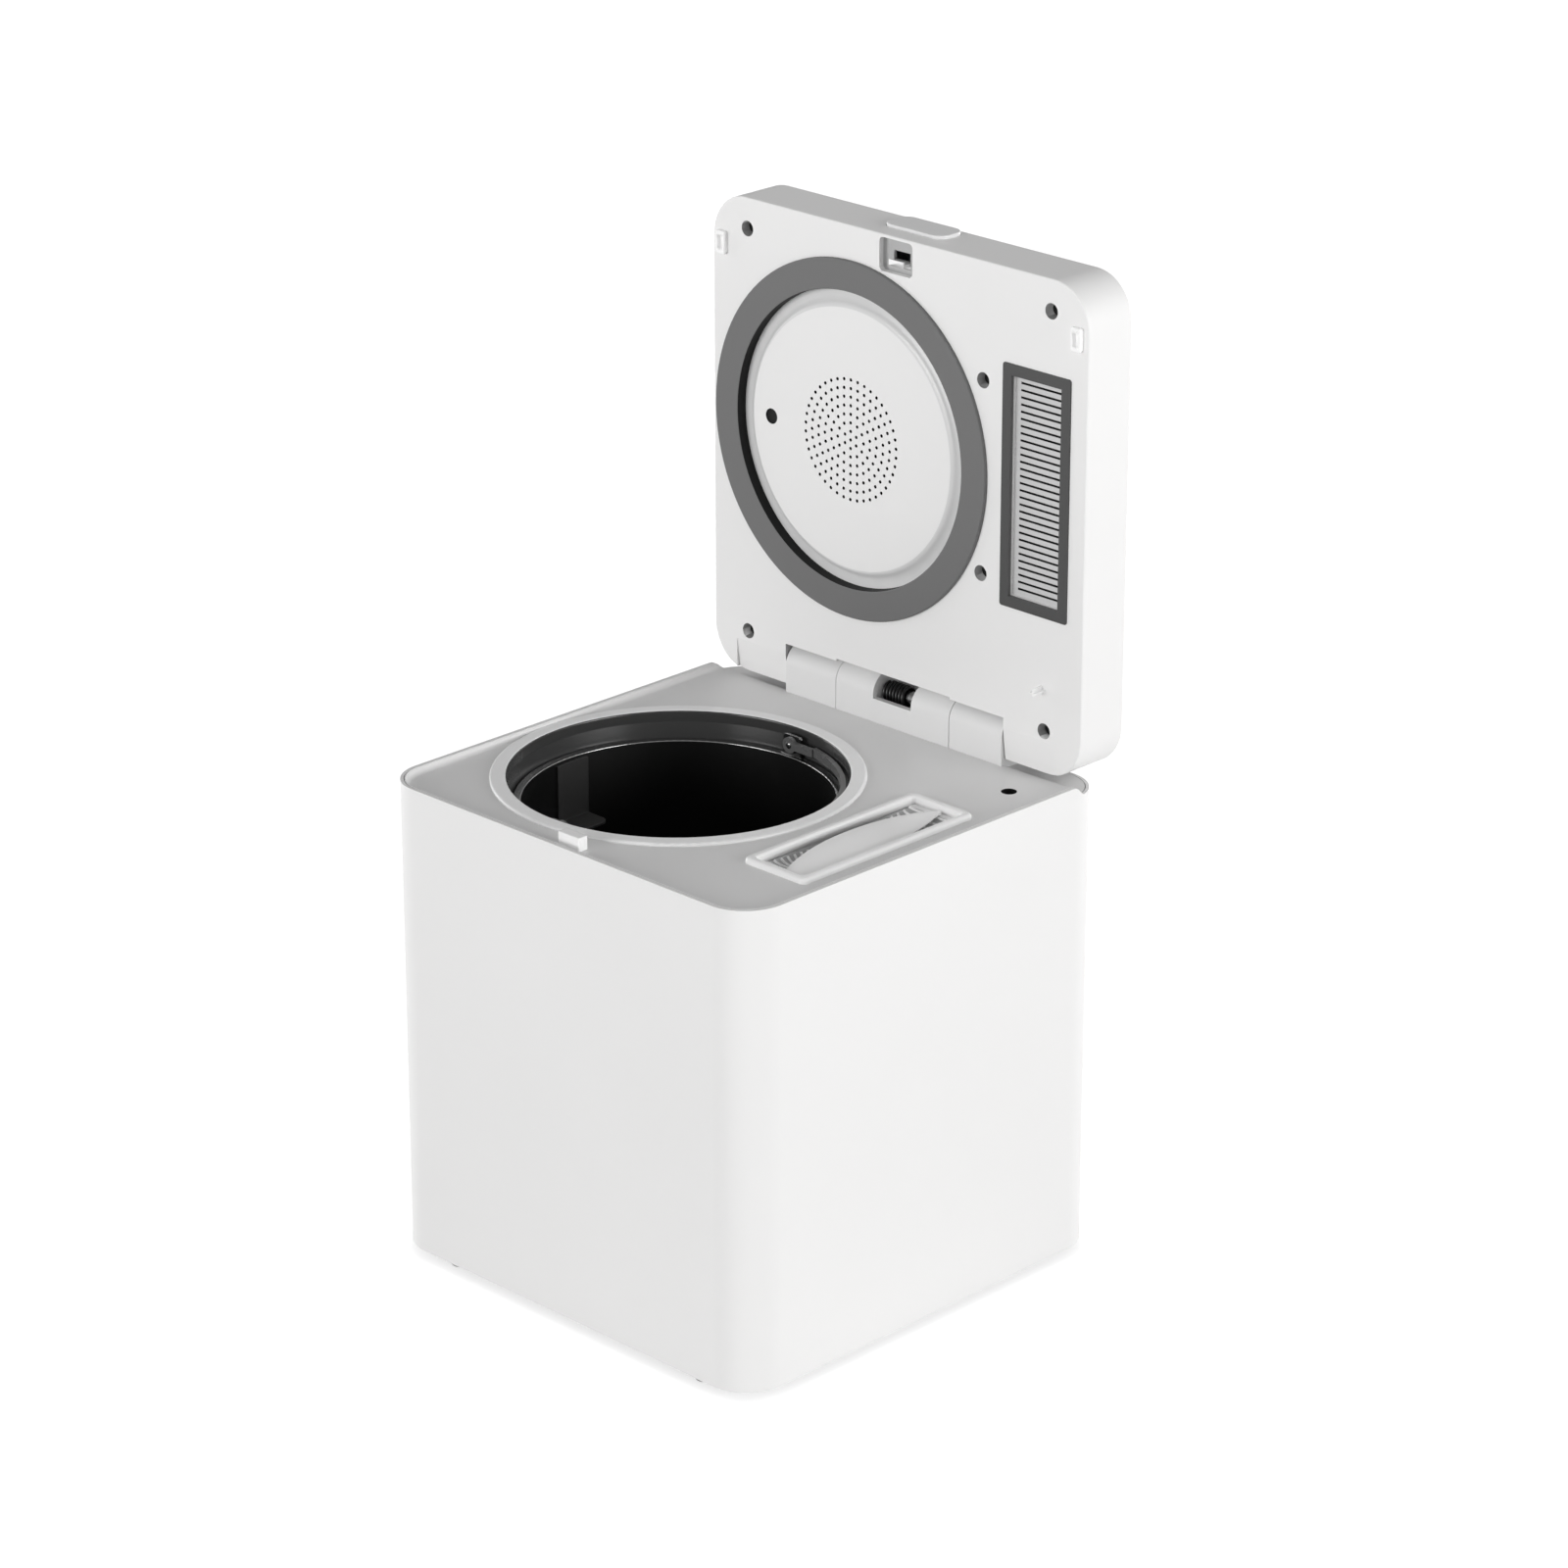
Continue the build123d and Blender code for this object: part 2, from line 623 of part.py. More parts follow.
# ================================================================ bucket
bucket_inner = bucket_radius - bucket_wall
boss_outer = 12.0
boss_inner = 8.0
boss_low = bucket_floor_under - 3.3
boss_high = bucket_floor_top + 4.2
ear_low = bucket_rim_top - 2
ear_high = shell_top - handle_below + ear_thickness + 3.5
handle_z = shell_top - handle_below
with BuildPart() as bucket:
    with BuildSketch(collar_profile) as bucket_section:
        with BuildLine():
            Polyline((boss_inner, boss_low), (boss_outer, boss_low), (boss_outer, bucket_floor_under),
                     (bucket_radius, bucket_floor_under), (bucket_radius, bucket_rim_top - bucket_rim_height),
                     (bucket_radius + bucket_rim_width, bucket_rim_top - bucket_rim_height),
                     (bucket_radius + bucket_rim_width, bucket_rim_top), (bucket_inner, bucket_rim_top),
                     (bucket_inner, bucket_floor_top), (boss_outer, bucket_floor_top), (boss_outer, boss_high),
                     (boss_inner, boss_high), close=True)
        make_face()
    revolve(axis=bucket_axis)
    fillet(bucket.edges().filter_by(GeomType.CIRCLE).filter_by(
        lambda e: abs(e.radius - bucket_inner) < 0.01 and e.center().Z < bucket_floor_top + 0.1), 5.0)
    fillet(bucket.edges().filter_by(GeomType.CIRCLE).filter_by(
        lambda e: abs(e.radius - bucket_radius) < 0.01 and e.center().Z < bucket_floor_under + 0.1), 4.0)
    fillet(bucket.edges().filter_by(GeomType.CIRCLE).filter_by(
        lambda e: e.center().Z > bucket_rim_top - 0.1), 0.7)
    with BuildSketch(Plane.XZ.offset(-(bucket_y + handle_inner_radius - 0.2))):
        with Locations((bucket_x, (ear_low + ear_high) / 2)):
            RectangleRounded(ear_width, ear_high - ear_low, 1.5)
    extrude(amount=-ear_thickness)
    with BuildSketch(Plane.XZ.offset(-(bucket_y - handle_inner_radius + 0.2))):
        with Locations((bucket_x, (ear_low + ear_high) / 2)):
            RectangleRounded(ear_width, ear_high - ear_low, 1.5)
    extrude(amount=ear_thickness)
    with BuildSketch(Plane.XZ.offset(-(bucket_y + cut_through / 2))):
        with Locations((bucket_x, handle_z)):
            Circle(pivot_radius)
    extrude(amount=cut_through, mode=Mode.SUBTRACT)
save(bucket.part, "bucket")

with BuildPart() as bucket_bush:
    with BuildSketch(Plane.XY.offset(boss_low)):
        with Locations((bucket_x, bucket_y)):
            Circle(boss_inner)
            Circle(5.0 + running_gap, mode=Mode.SUBTRACT)
    extrude(amount=boss_high - boss_low)
save(bucket_bush.part, "bucket_bush")

baffle_width = 25.0
baffle_high = shell_top - 20.5
baffle_low = shell_top - 58.0
with BuildPart() as wall_baffle:
    with BuildSketch(Plane.XY.offset(baffle_low)):
        with Locations((bucket_x, bucket_y)):
            Circle(bucket_inner)
            Circle(bucket_inner - 1.5, mode=Mode.SUBTRACT)
        with Locations((bucket_x - bucket_inner, bucket_y)):
            Rectangle(24, baffle_width, mode=Mode.INTERSECT)
    extrude(amount=baffle_high - baffle_low)
    with BuildSketch(Plane.XY.offset(baffle_low)):
        with Locations((bucket_x - bucket_inner + 11, bucket_y)):
            RectangleRounded(19, baffle_width, 6)
        with Locations((bucket_x - bucket_inner + 5, bucket_y)):
            Rectangle(8, baffle_width)
    extrude(amount=1.6)
save(wall_baffle.part, "wall_baffle")

arm_outer = handle_inner_radius - 0.5
with BuildPart() as handle_pivots:
    with BuildSketch(Plane.XZ.offset(-(bucket_y + arm_outer - handle_arm - 0.3))):
        with Locations((bucket_x, handle_z)):
            Circle(pivot_radius)
    extrude(amount=-(handle_arm + 0.3 + 0.3 + ear_thickness))
    with BuildSketch(Plane.XZ.offset(-(bucket_y - arm_outer + handle_arm + 0.3))):
        with Locations((bucket_x, handle_z)):
            Circle(pivot_radius)
    extrude(amount=handle_arm + 0.3 + 0.3 + ear_thickness)
save(handle_pivots.part, "handle_pivots")

arm_reach = 18.5
handle_outer = handle_inner_radius + handle_band
with BuildPart() as bucket_handle:
    with BuildSketch(Plane.XY.offset(handle_z - handle_height / 2)):
        with Locations((bucket_x, bucket_y)):
            Circle(handle_outer)
            Circle(handle_inner_radius, mode=Mode.SUBTRACT)
        with Locations((bucket_x + arm_reach + handle_outer / 2, bucket_y)):
            Rectangle(handle_outer, 2.2 * handle_outer, mode=Mode.INTERSECT)
        with Locations((bucket_x + arm_reach / 2 + 0.5, bucket_y + arm_outer - handle_arm / 2),
                       (bucket_x + arm_reach / 2 + 0.5, bucket_y - arm_outer + handle_arm / 2)):
            Rectangle(arm_reach + 1, handle_arm)
    extrude(amount=handle_height)
    with BuildSketch(Plane.XZ.offset(-(bucket_y + arm_outer - handle_arm))):
        with Locations((bucket_x, handle_z)):
            Circle(5)
    extrude(amount=-handle_arm)
    with BuildSketch(Plane.XZ.offset(-(bucket_y - arm_outer + handle_arm))):
        with Locations((bucket_x, handle_z)):
            Circle(5)
    extrude(amount=handle_arm)
    with BuildSketch(Plane.XZ.offset(-(bucket_y + cut_through / 2))):
        with Locations((bucket_x, handle_z)):
            Circle(pivot_radius + running_gap)
    extrude(amount=cut_through, mode=Mode.SUBTRACT)
save(bucket_handle.part, "bucket_handle")

# ================================================================ agitator and drive
hub_low = boss_high + 0.5
hub_high = hub_low + 32
arm_low = hub_low + 1.5
dog_high = boss_low - 0.3
dog_low = dog_high - 9.7
hex_flats = 12.0
blade_reach = bucket_inner - 8.4
blade_height = 46.0
with BuildPart() as agitator:
    with BuildSketch(Plane.XY.offset(dog_high - 4)):
        with Locations((bucket_x, bucket_y)):
            Circle(5.0)
    extrude(amount=hub_high - dog_high)
    with BuildSketch(Plane.XY.offset(hub_low)):
        with Locations((bucket_x, bucket_y)):
            Circle(14)
    extrude(amount=hub_high - hub_low, taper=6)
    fillet(agitator.faces().sort_by(Axis.Z)[-1].edges(), 5)
    for arm in range(3):
        turn = 120 * arm + 20
        lie = Plane.XY.offset(arm_low) * Location((bucket_x, bucket_y, 0), (0, 0, turn))
        with BuildSketch(lie):
            with Locations((blade_reach / 2 + 4, 0)):
                RectangleRounded(blade_reach - 8, 13, 5)
        extrude(amount=6)
        stand = Plane.XY.offset(arm_low) * Location((bucket_x, bucket_y, 0), (0, 0, turn))
        with BuildSketch(stand):
            with Locations((blade_reach - 4, 0)):
                RectangleRounded(6, 13, 2.5)
        extrude(amount=blade_height)
save(agitator.part, "agitator")

with BuildPart() as drive_dog:
    with BuildSketch(Plane.XY.offset(dog_low)):
        with Locations((bucket_x, bucket_y)):
            Circle(11)
    extrude(amount=dog_high - dog_low)
    with BuildSketch(Plane.XY.offset(dog_low - 1)):
        with Locations((bucket_x, bucket_y)):
            RegularPolygon((hex_flats + 0.4) / 2, 6, major_radius=False)
    extrude(amount=dog_high - dog_low - 3, mode=Mode.SUBTRACT)
    with BuildSketch(Plane.XY.offset(dog_low - 1)):
        with Locations((bucket_x, bucket_y)):
            Circle(5.0)
    extrude(amount=20, mode=Mode.SUBTRACT)
save(drive_dog.part, "drive_dog")

output_pitch = output_teeth * gear_module_output / 2
idler_pitch_small = pinion_teeth * gear_module_output / 2
idler_pitch_large = input_teeth * gear_module_input / 2
motor_pitch = pinion_teeth * gear_module_input / 2
idler_x = bucket_x + output_pitch + idler_pitch_small
motor_x = idler_x + idler_pitch_large + motor_pitch
shaft_sink = gearbox_wall - 1
idler_shaft = 3.0
pinion_shaft = 2.5
motor_boss = 8.0
with BuildPart() as output_gear:
    with BuildSketch(Plane.XY.offset(gear_low_out)):
        with Locations((bucket_x, bucket_y)):
            Polygon(*gear_outline(output_teeth, gear_module_output), align=None)
    extrude(amount=gear_high_out - gear_low_out)
    with BuildSketch(Plane.XY.offset(box_floor - shaft_sink)):
        with Locations((bucket_x, bucket_y)):
            Circle(output_radius)
    extrude(amount=dog_low - box_floor + shaft_sink)
    with BuildSketch(Plane.XY.offset(dog_low - 0.5)):
        with Locations((bucket_x, bucket_y)):
            RegularPolygon(hex_flats / 2, 6, major_radius=False)
    extrude(amount=5.5)
save(output_gear.part, "output_gear")

with BuildPart() as idler_gear:
    with BuildSketch(Plane.XY.offset(gear_low_in)):
        with Locations((idler_x, bucket_y)):
            Polygon(*gear_outline(input_teeth, gear_module_input), align=None)
    extrude(amount=gear_high_in - gear_low_in)
    with BuildSketch(Plane.XY.offset(gear_high_in - 0.5)):
        with Locations((idler_x, bucket_y)):
            Polygon(*gear_outline(pinion_teeth, gear_module_output, 180 / pinion_teeth), align=None)
    extrude(amount=gear_high_out - gear_high_in + 0.5)
    with BuildSketch(Plane.XY.offset(box_floor - shaft_sink)):
        with Locations((idler_x, bucket_y)):
            Circle(idler_shaft)
    extrude(amount=box_high + 1 - box_floor + shaft_sink)
save(idler_gear.part, "idler_gear")

with BuildPart() as motor_pinion:
    with BuildSketch(Plane.XY.offset(gear_low_in)):
        with Locations((motor_x, bucket_y)):
            Polygon(*gear_outline(pinion_teeth, gear_module_input, 180 / pinion_teeth), align=None)
    extrude(amount=gear_high_in - gear_low_in)
    with BuildSketch(Plane.XY.offset(box_low - 3)):
        with Locations((motor_x, bucket_y)):
            Circle(pinion_shaft)
    extrude(amount=gear_high_in - box_low + 5)
save(motor_pinion.part, "motor_pinion")

wall = gearbox_wall
clear_out = output_pitch + 5
clear_in = idler_pitch_large + 4
clear_motor = motor_radius
with BuildSketch() as box_inside:
    with Locations((bucket_x, bucket_y)):
        Circle(clear_out)
    with Locations((idler_x, bucket_y)):
        Circle(clear_in)
    with Locations((motor_x, bucket_y)):
        Circle(clear_motor - 4)
    with Locations(((idler_x + motor_x) / 2, bucket_y)):
        Rectangle(motor_x - idler_x, 2 * clear_motor - 8)
with BuildSketch() as box_outside:
    with Locations((bucket_x, bucket_y)):
        Circle(clear_out + wall)
    with Locations((idler_x, bucket_y)):
        Circle(clear_in + wall)
    with Locations((motor_x, bucket_y)):
        Circle(clear_motor - 4 + wall)
    with Locations(((idler_x + motor_x) / 2, bucket_y)):
        Rectangle(motor_x - idler_x, 2 * (clear_motor - 4 + wall))
post_places = [(bucket_x - 38, bucket_y), (bucket_x + 8, bucket_y + 38), (bucket_x + 8, bucket_y - 38)]
with BuildPart() as gearbox_housing:
    with BuildSketch(Plane.XY.offset(box_low)):
        add(box_outside.sketch)
    extrude(amount=box_high - box_low)
    with BuildSketch(Plane.XY.offset(box_floor)):
        add(box_inside.sketch)
    extrude(amount=box_high, mode=Mode.SUBTRACT)
    with BuildSketch(Plane.XY.offset(pan_top)):
        with Locations(post_places):
            Circle(5)
    extrude(amount=box_low - pan_top)
    with BuildSketch(Plane.XY.offset(box_low - 1)):
        with Locations((motor_x, bucket_y)):
            Circle(motor_boss)
    extrude(amount=gearbox_wall + 2, mode=Mode.SUBTRACT)
    with BuildSketch(Plane.XY.offset(box_floor - shaft_sink - 0.3)):
        with Locations((bucket_x, bucket_y)):
            Circle(output_radius + running_gap)
        with Locations((idler_x, bucket_y)):
            Circle(idler_shaft + running_gap)
    extrude(amount=gearbox_wall, mode=Mode.SUBTRACT)
save(gearbox_housing.part, "gearbox_housing")

with BuildPart() as gearbox_cover:
    with BuildSketch(Plane.XY.offset(box_high)):
        add(box_outside.sketch)
        with Locations((bucket_x, bucket_y)):
            Circle(output_radius + running_gap, mode=Mode.SUBTRACT)
        with Locations((idler_x, bucket_y)):
            Circle(idler_shaft + running_gap, mode=Mode.SUBTRACT)
    extrude(amount=box_lid - box_high)
save(gearbox_cover.part, "gearbox_cover")

with BuildPart() as drive_motor:
    with BuildSketch(Plane.XY.offset(box_low - motor_length)):
        with Locations((motor_x, bucket_y)):
            Circle(motor_radius)
    extrude(amount=motor_length)
    chamfer(drive_motor.faces().sort_by(Axis.Z)[0].edges(), 2)
    with BuildSketch(Plane.XY.offset(box_low)):
        with Locations((motor_x, bucket_y)):
            Circle(motor_boss)
    extrude(amount=wall)
    with BuildSketch(Plane.XY.offset(box_low - 4)):
        with Locations((motor_x, bucket_y)):
            Circle(pinion_shaft + running_gap)
    extrude(amount=10, mode=Mode.SUBTRACT)
save(drive_motor.part, "drive_motor")

# ================================================================ filter compartment and cartridge
box_top = deck_under
box_inner_width = port_width + 0.2
box_inner_length = port_length + 0.2
cartridge_top = deck_top + pull_rise - pull_thickness - 1.0
cartridge_base = cartridge_top - cartridge_height
box_base = cartridge_base - 6
with BuildPart() as filter_box:
    with BuildSketch(Plane.XY.offset(box_base)):
        with Locations((port_x, port_y)):
            RectangleRounded(box_inner_width + 2 * box_wall, box_inner_length + 2 * box_wall, 3)
    extrude(amount=box_top - box_base)
    with BuildSketch(Plane.XY.offset(box_base + 6)):
        with Locations((port_x, port_y)):
            RectangleRounded(box_inner_width, box_inner_length, 1.5)
    extrude(amount=box_top - box_base, mode=Mode.SUBTRACT)
    with BuildSketch(Plane.XY.offset(box_base - 1)):
        with Locations((port_x, port_y)):
            with GridLocations(0, 12, 1, 9):
                SlotOverall(28, 6)
    extrude(amount=20, mode=Mode.SUBTRACT)
save(filter_box.part, "filter_box")

with BuildPart() as air_port_frame:
    with BuildSketch(Plane.XY.offset(deck_top)):
        with Locations((port_x, port_y)):
            RectangleRounded(port_width + 2 * port_frame_wall, port_length + 2 * port_frame_wall, 4)
    extrude(amount=port_frame_rise)
    fillet(air_port_frame.faces().sort_by(Axis.Z)[-1].edges(), port_frame_wall * 0.42)
    with BuildSketch(Plane.XY.offset(deck_top - 1)):
        with Locations((port_x, port_y)):
            RectangleRounded(port_width, port_length, 2)
    extrude(amount=10, mode=Mode.SUBTRACT)
    fillet(air_port_frame.faces().sort_by(Axis.Z)[-1].inner_wires()[0].edges(), port_frame_wall * 0.3)
save(air_port_frame.part, "air_port_frame")

cartridge_width = port_width - 2 * cartridge_gap
cartridge_length = port_length - 2 * cartridge_gap
scoop_reach = cartridge_length / 2 - 3
scoop_radius = (scoop_reach ** 2 + scoop_depth ** 2) / (2 * scoop_depth)
scoop_centre = (port_y, cartridge_top - scoop_depth + scoop_radius)
with BuildPart() as filter_cartridge:
    with BuildSketch(Plane.YZ.offset(port_x - cartridge_width / 2)):
        with Locations((port_y, (cartridge_base + cartridge_top) / 2)):
            Rectangle(cartridge_length, cartridge_top - cartridge_base)
        with Locations(scoop_centre):
            Circle(scoop_radius, mode=Mode.SUBTRACT)
    extrude(amount=cartridge_width)
    fillet(filter_cartridge.edges().filter_by(Axis.Z), 1.5)
    with BuildSketch(Plane.YZ.offset(port_x - cartridge_width / 2 + cartridge_wall)):
        with Locations((port_y, (cartridge_base + cartridge_top) / 2 - 2)):
            Rectangle(cartridge_length - 2 * cartridge_wall, cartridge_top - cartridge_base)
        with Locations(scoop_centre):
            Circle(scoop_radius + cartridge_wall, mode=Mode.SUBTRACT)
    extrude(amount=cartridge_width - 2 * cartridge_wall, mode=Mode.SUBTRACT)
    with BuildSketch(Plane.XY.offset(cartridge_top - scoop_depth - 4)):
        with Locations((port_x, port_y)):
            with GridLocations(0, cartridge_pitch, 1, cartridge_slots):
                SlotOverall(26, cartridge_slot)
    extrude(amount=20, mode=Mode.SUBTRACT)
save(filter_cartridge.part, "filter_cartridge")

carbon_top = cartridge_top - scoop_depth - cartridge_wall - 3
with BuildPart() as carbon_bed:
    with BuildSketch(Plane.XY.offset(cartridge_base)):
        with Locations((port_x, port_y)):
            Rectangle(cartridge_width - 2 * cartridge_wall, cartridge_length - 2 * cartridge_wall)
    extrude(amount=carbon_top - cartridge_base)
save(carbon_bed.part, "carbon_bed")

pull_x = port_x + pull_shift
pull_reach = cartridge_length / 2 - 0.4
pull_near = (pull_x, port_y - pull_reach)
pull_far = (pull_x, port_y + pull_reach)
pull_top = deck_top + pull_rise
with BuildPart() as filter_pull:
    with BuildSketch(Plane.XY.offset(pull_top - pull_thickness)):
        with BuildLine():
            ThreePointArc(pull_near, (pull_x + pull_width / 2, port_y), pull_far)
            ThreePointArc(pull_far, (pull_x - pull_width / 2, port_y), pull_near)
        make_face()
    extrude(amount=pull_thickness)
    with BuildSketch(Plane.XY.offset(cartridge_top)):
        with Locations((pull_x, port_y - pull_reach + 1.2), (pull_x, port_y + pull_reach - 1.2)):
            Rectangle(6, 2.4)
    extrude(amount=pull_top - cartridge_top)
save(filter_pull.part, "filter_pull")

# ================================================================ fan, electronics, lid switch
fan_size = 60.0
fan_depth = 24.0
fan_back = half_depth - shell_wall - 2 - 0.2
fan_front = fan_back - fan_depth
with BuildPart() as fan_housing:
    with BuildSketch(Plane.XZ.offset(-fan_back)):
        with Locations((vent_x, vent_z)):
            RectangleRounded(fan_size, fan_size, 4)
            Circle(28, mode=Mode.SUBTRACT)
    extrude(amount=fan_depth)
    with BuildSketch(Plane.XZ.offset(-fan_front - 3)):
        with Locations((vent_x, vent_z)):
            Circle(12)
            with PolarLocations(20, 4, start_angle=45):
                Rectangle(18, 4)
    extrude(amount=3)
    with BuildSketch(Plane.XZ.offset(-fan_back - 5)):
        with Locations((vent_x, vent_z)):
            with GridLocations(50, 50, 2, 2):
                Circle(2.1)
    extrude(amount=fan_depth + 10, mode=Mode.SUBTRACT)
    with BuildSketch(Plane.XZ.offset(-fan_front - 4)):
        with Locations((vent_x, vent_z)):
            Circle(2 + running_gap)
    extrude(amount=10, mode=Mode.SUBTRACT)
save(fan_housing.part, "fan_housing")

with BuildPart() as fan_rotor:
    with BuildSketch(Plane.XZ.offset(-fan_front - 20)):
        with Locations((vent_x, vent_z)):
            Circle(11.5)
    extrude(amount=16)
    for blade in range(7):
        turn = Location((vent_x, 0, vent_z)) * Location((0, 0, 0), (0, 360 / 7 * blade, 0))
        with BuildPart(mode=Mode.PRIVATE) as one_blade:
            with BuildSketch(Plane(origin=(10.8, fan_front + 12, 0), x_dir=(0, 1, 0), z_dir=(1, 0, 0))):
                Rectangle(14, 1.4, rotation=38)
            extrude(amount=16)
        add(one_blade.part.moved(turn))
    with BuildSketch(Plane.XZ.offset(-fan_front - 5)):
        with Locations((vent_x, vent_z)):
            Circle(2)
    extrude(amount=4.5)
save(fan_rotor.part, "fan_rotor")

board_z = shell_bottom + board_rise
board_y = half_depth - board_inset_back
with BuildPart() as control_board:
    with BuildSketch(Plane.XZ.offset(-board_y)):
        with Locations((board_x, board_z)):
            Rectangle(board_width, board_height)
    extrude(amount=1.6)
    with BuildSketch(Plane.XZ.offset(-board_y)):
        with Locations((board_x, board_z)):
            with GridLocations(board_width - 12, board_height - 12, 2, 2):
                Circle(3)
    extrude(amount=-(half_depth - shell_wall - board_y))
    with BuildSketch(Plane.XZ.offset(-board_y + 1.6)):
        with Locations((board_x - 35, board_z + 18)):
            Rectangle(24, 16)
        with Locations((board_x + 20, board_z - 15)):
            Rectangle(16, 16)
        with Locations((board_x - 30, board_z - 20)):
            Circle(7)
    extrude(amount=9)
save(control_board.part, "control_board")

supply_x = half_width - supply_inset_side
supply_y = supply_inset_front - half_depth
supply_height = 46.0
with BuildPart() as power_supply:
    with BuildSketch(Plane.XY.offset(pan_top)):
        with Locations((supply_x, supply_y)):
            RectangleRounded(supply_width, supply_length, 3)
    extrude(amount=supply_height)
    with BuildSketch(Plane.XY.offset(pan_top + supply_height)):
        with Locations((supply_x, supply_y)):
            with GridLocations(0, 8, 1, 8):
                SlotOverall(32, 3)
    extrude(amount=-2, mode=Mode.SUBTRACT)
save(power_supply.part, "power_supply")

peg_reach = 8.0
peg_tip = shell_top + 0.7 - peg_reach
plunger_top = peg_tip - 0.3
plunger_radius = 2.4
with BuildPart() as lid_switch:
    with BuildSketch(Plane.XY.offset(deck_under)):
        with Locations((switch_x, switch_y)):
            RectangleRounded(22, 14, 2)
    extrude(amount=-26)
    with BuildSketch(Plane.XY.offset(deck_under + 1)):
        with Locations((switch_x, switch_y)):
            Circle(switch_hole_radius)
    extrude(amount=-6, mode=Mode.SUBTRACT)
    with BuildSketch(Plane.XY.offset(deck_under + 1)):
        with Locations((switch_x, switch_y)):
            Circle(plunger_radius + running_gap)
    extrude(amount=-22, mode=Mode.SUBTRACT)
save(lid_switch.part, "lid_switch")

with BuildPart() as switch_plunger:
    with BuildSketch(Plane.XY.offset(plunger_top)):
        with Locations((switch_x, switch_y)):
            Circle(plunger_radius)
    extrude(amount=-12)
    fillet(switch_plunger.faces().sort_by(Axis.Z)[-1].edges(), 0.6)
save(switch_plunger.part, "switch_plunger")

# ================================================================ lid
seam_depth = lid_thickness - lid_cover_wall
cut_half = tower_half_width + cut_clearance
cut_top_outer = hinge_z + cut_rise_outer - lid_zero_z
cut_top_centre = hinge_z + cut_rise_centre - lid_zero_z
cut_depth = lid_face_drop + tower_radius + 1.4
pin_up = hinge_z - lid_zero_z
gasket_up = -bucket_y
vent_seat_radius = gasket_inner_radius + gasket_skirt
port_up = port_gasket_shift - port_y
port_hole_width = port_gasket_outer_width - 2 * port_gasket_wall
port_hole_length = port_gasket_outer_length - 2 * port_gasket_wall
cup_up = half_depth - latch_cup_inset - latch_cup_length / 2
slot_front = half_depth - latch_slot_inset
slot_back = slot_front - latch_slot_length
screw_side = half_width - 28.7
screw_front = half_depth - 19.0
screw_tail = 26.8 - half_depth
screw_port = port_gasket_x - 41.7
screw_places = [(-screw_side, screw_front), (screw_side, screw_front), (-screw_side, screw_tail),
                (screw_side, screw_tail), (screw_port, port_up + 58.8), (screw_port, port_up - 58.6)]
boss_depth = 12.0
boss_radius = screw_recess_radius + screw_recess_wall
tail_bevel_half = half_width - tail_bevel_end
slide_depth = latch_cup_depth + 1.8
slide_wall = 1.6
spring_rib = slot_back - 14.0

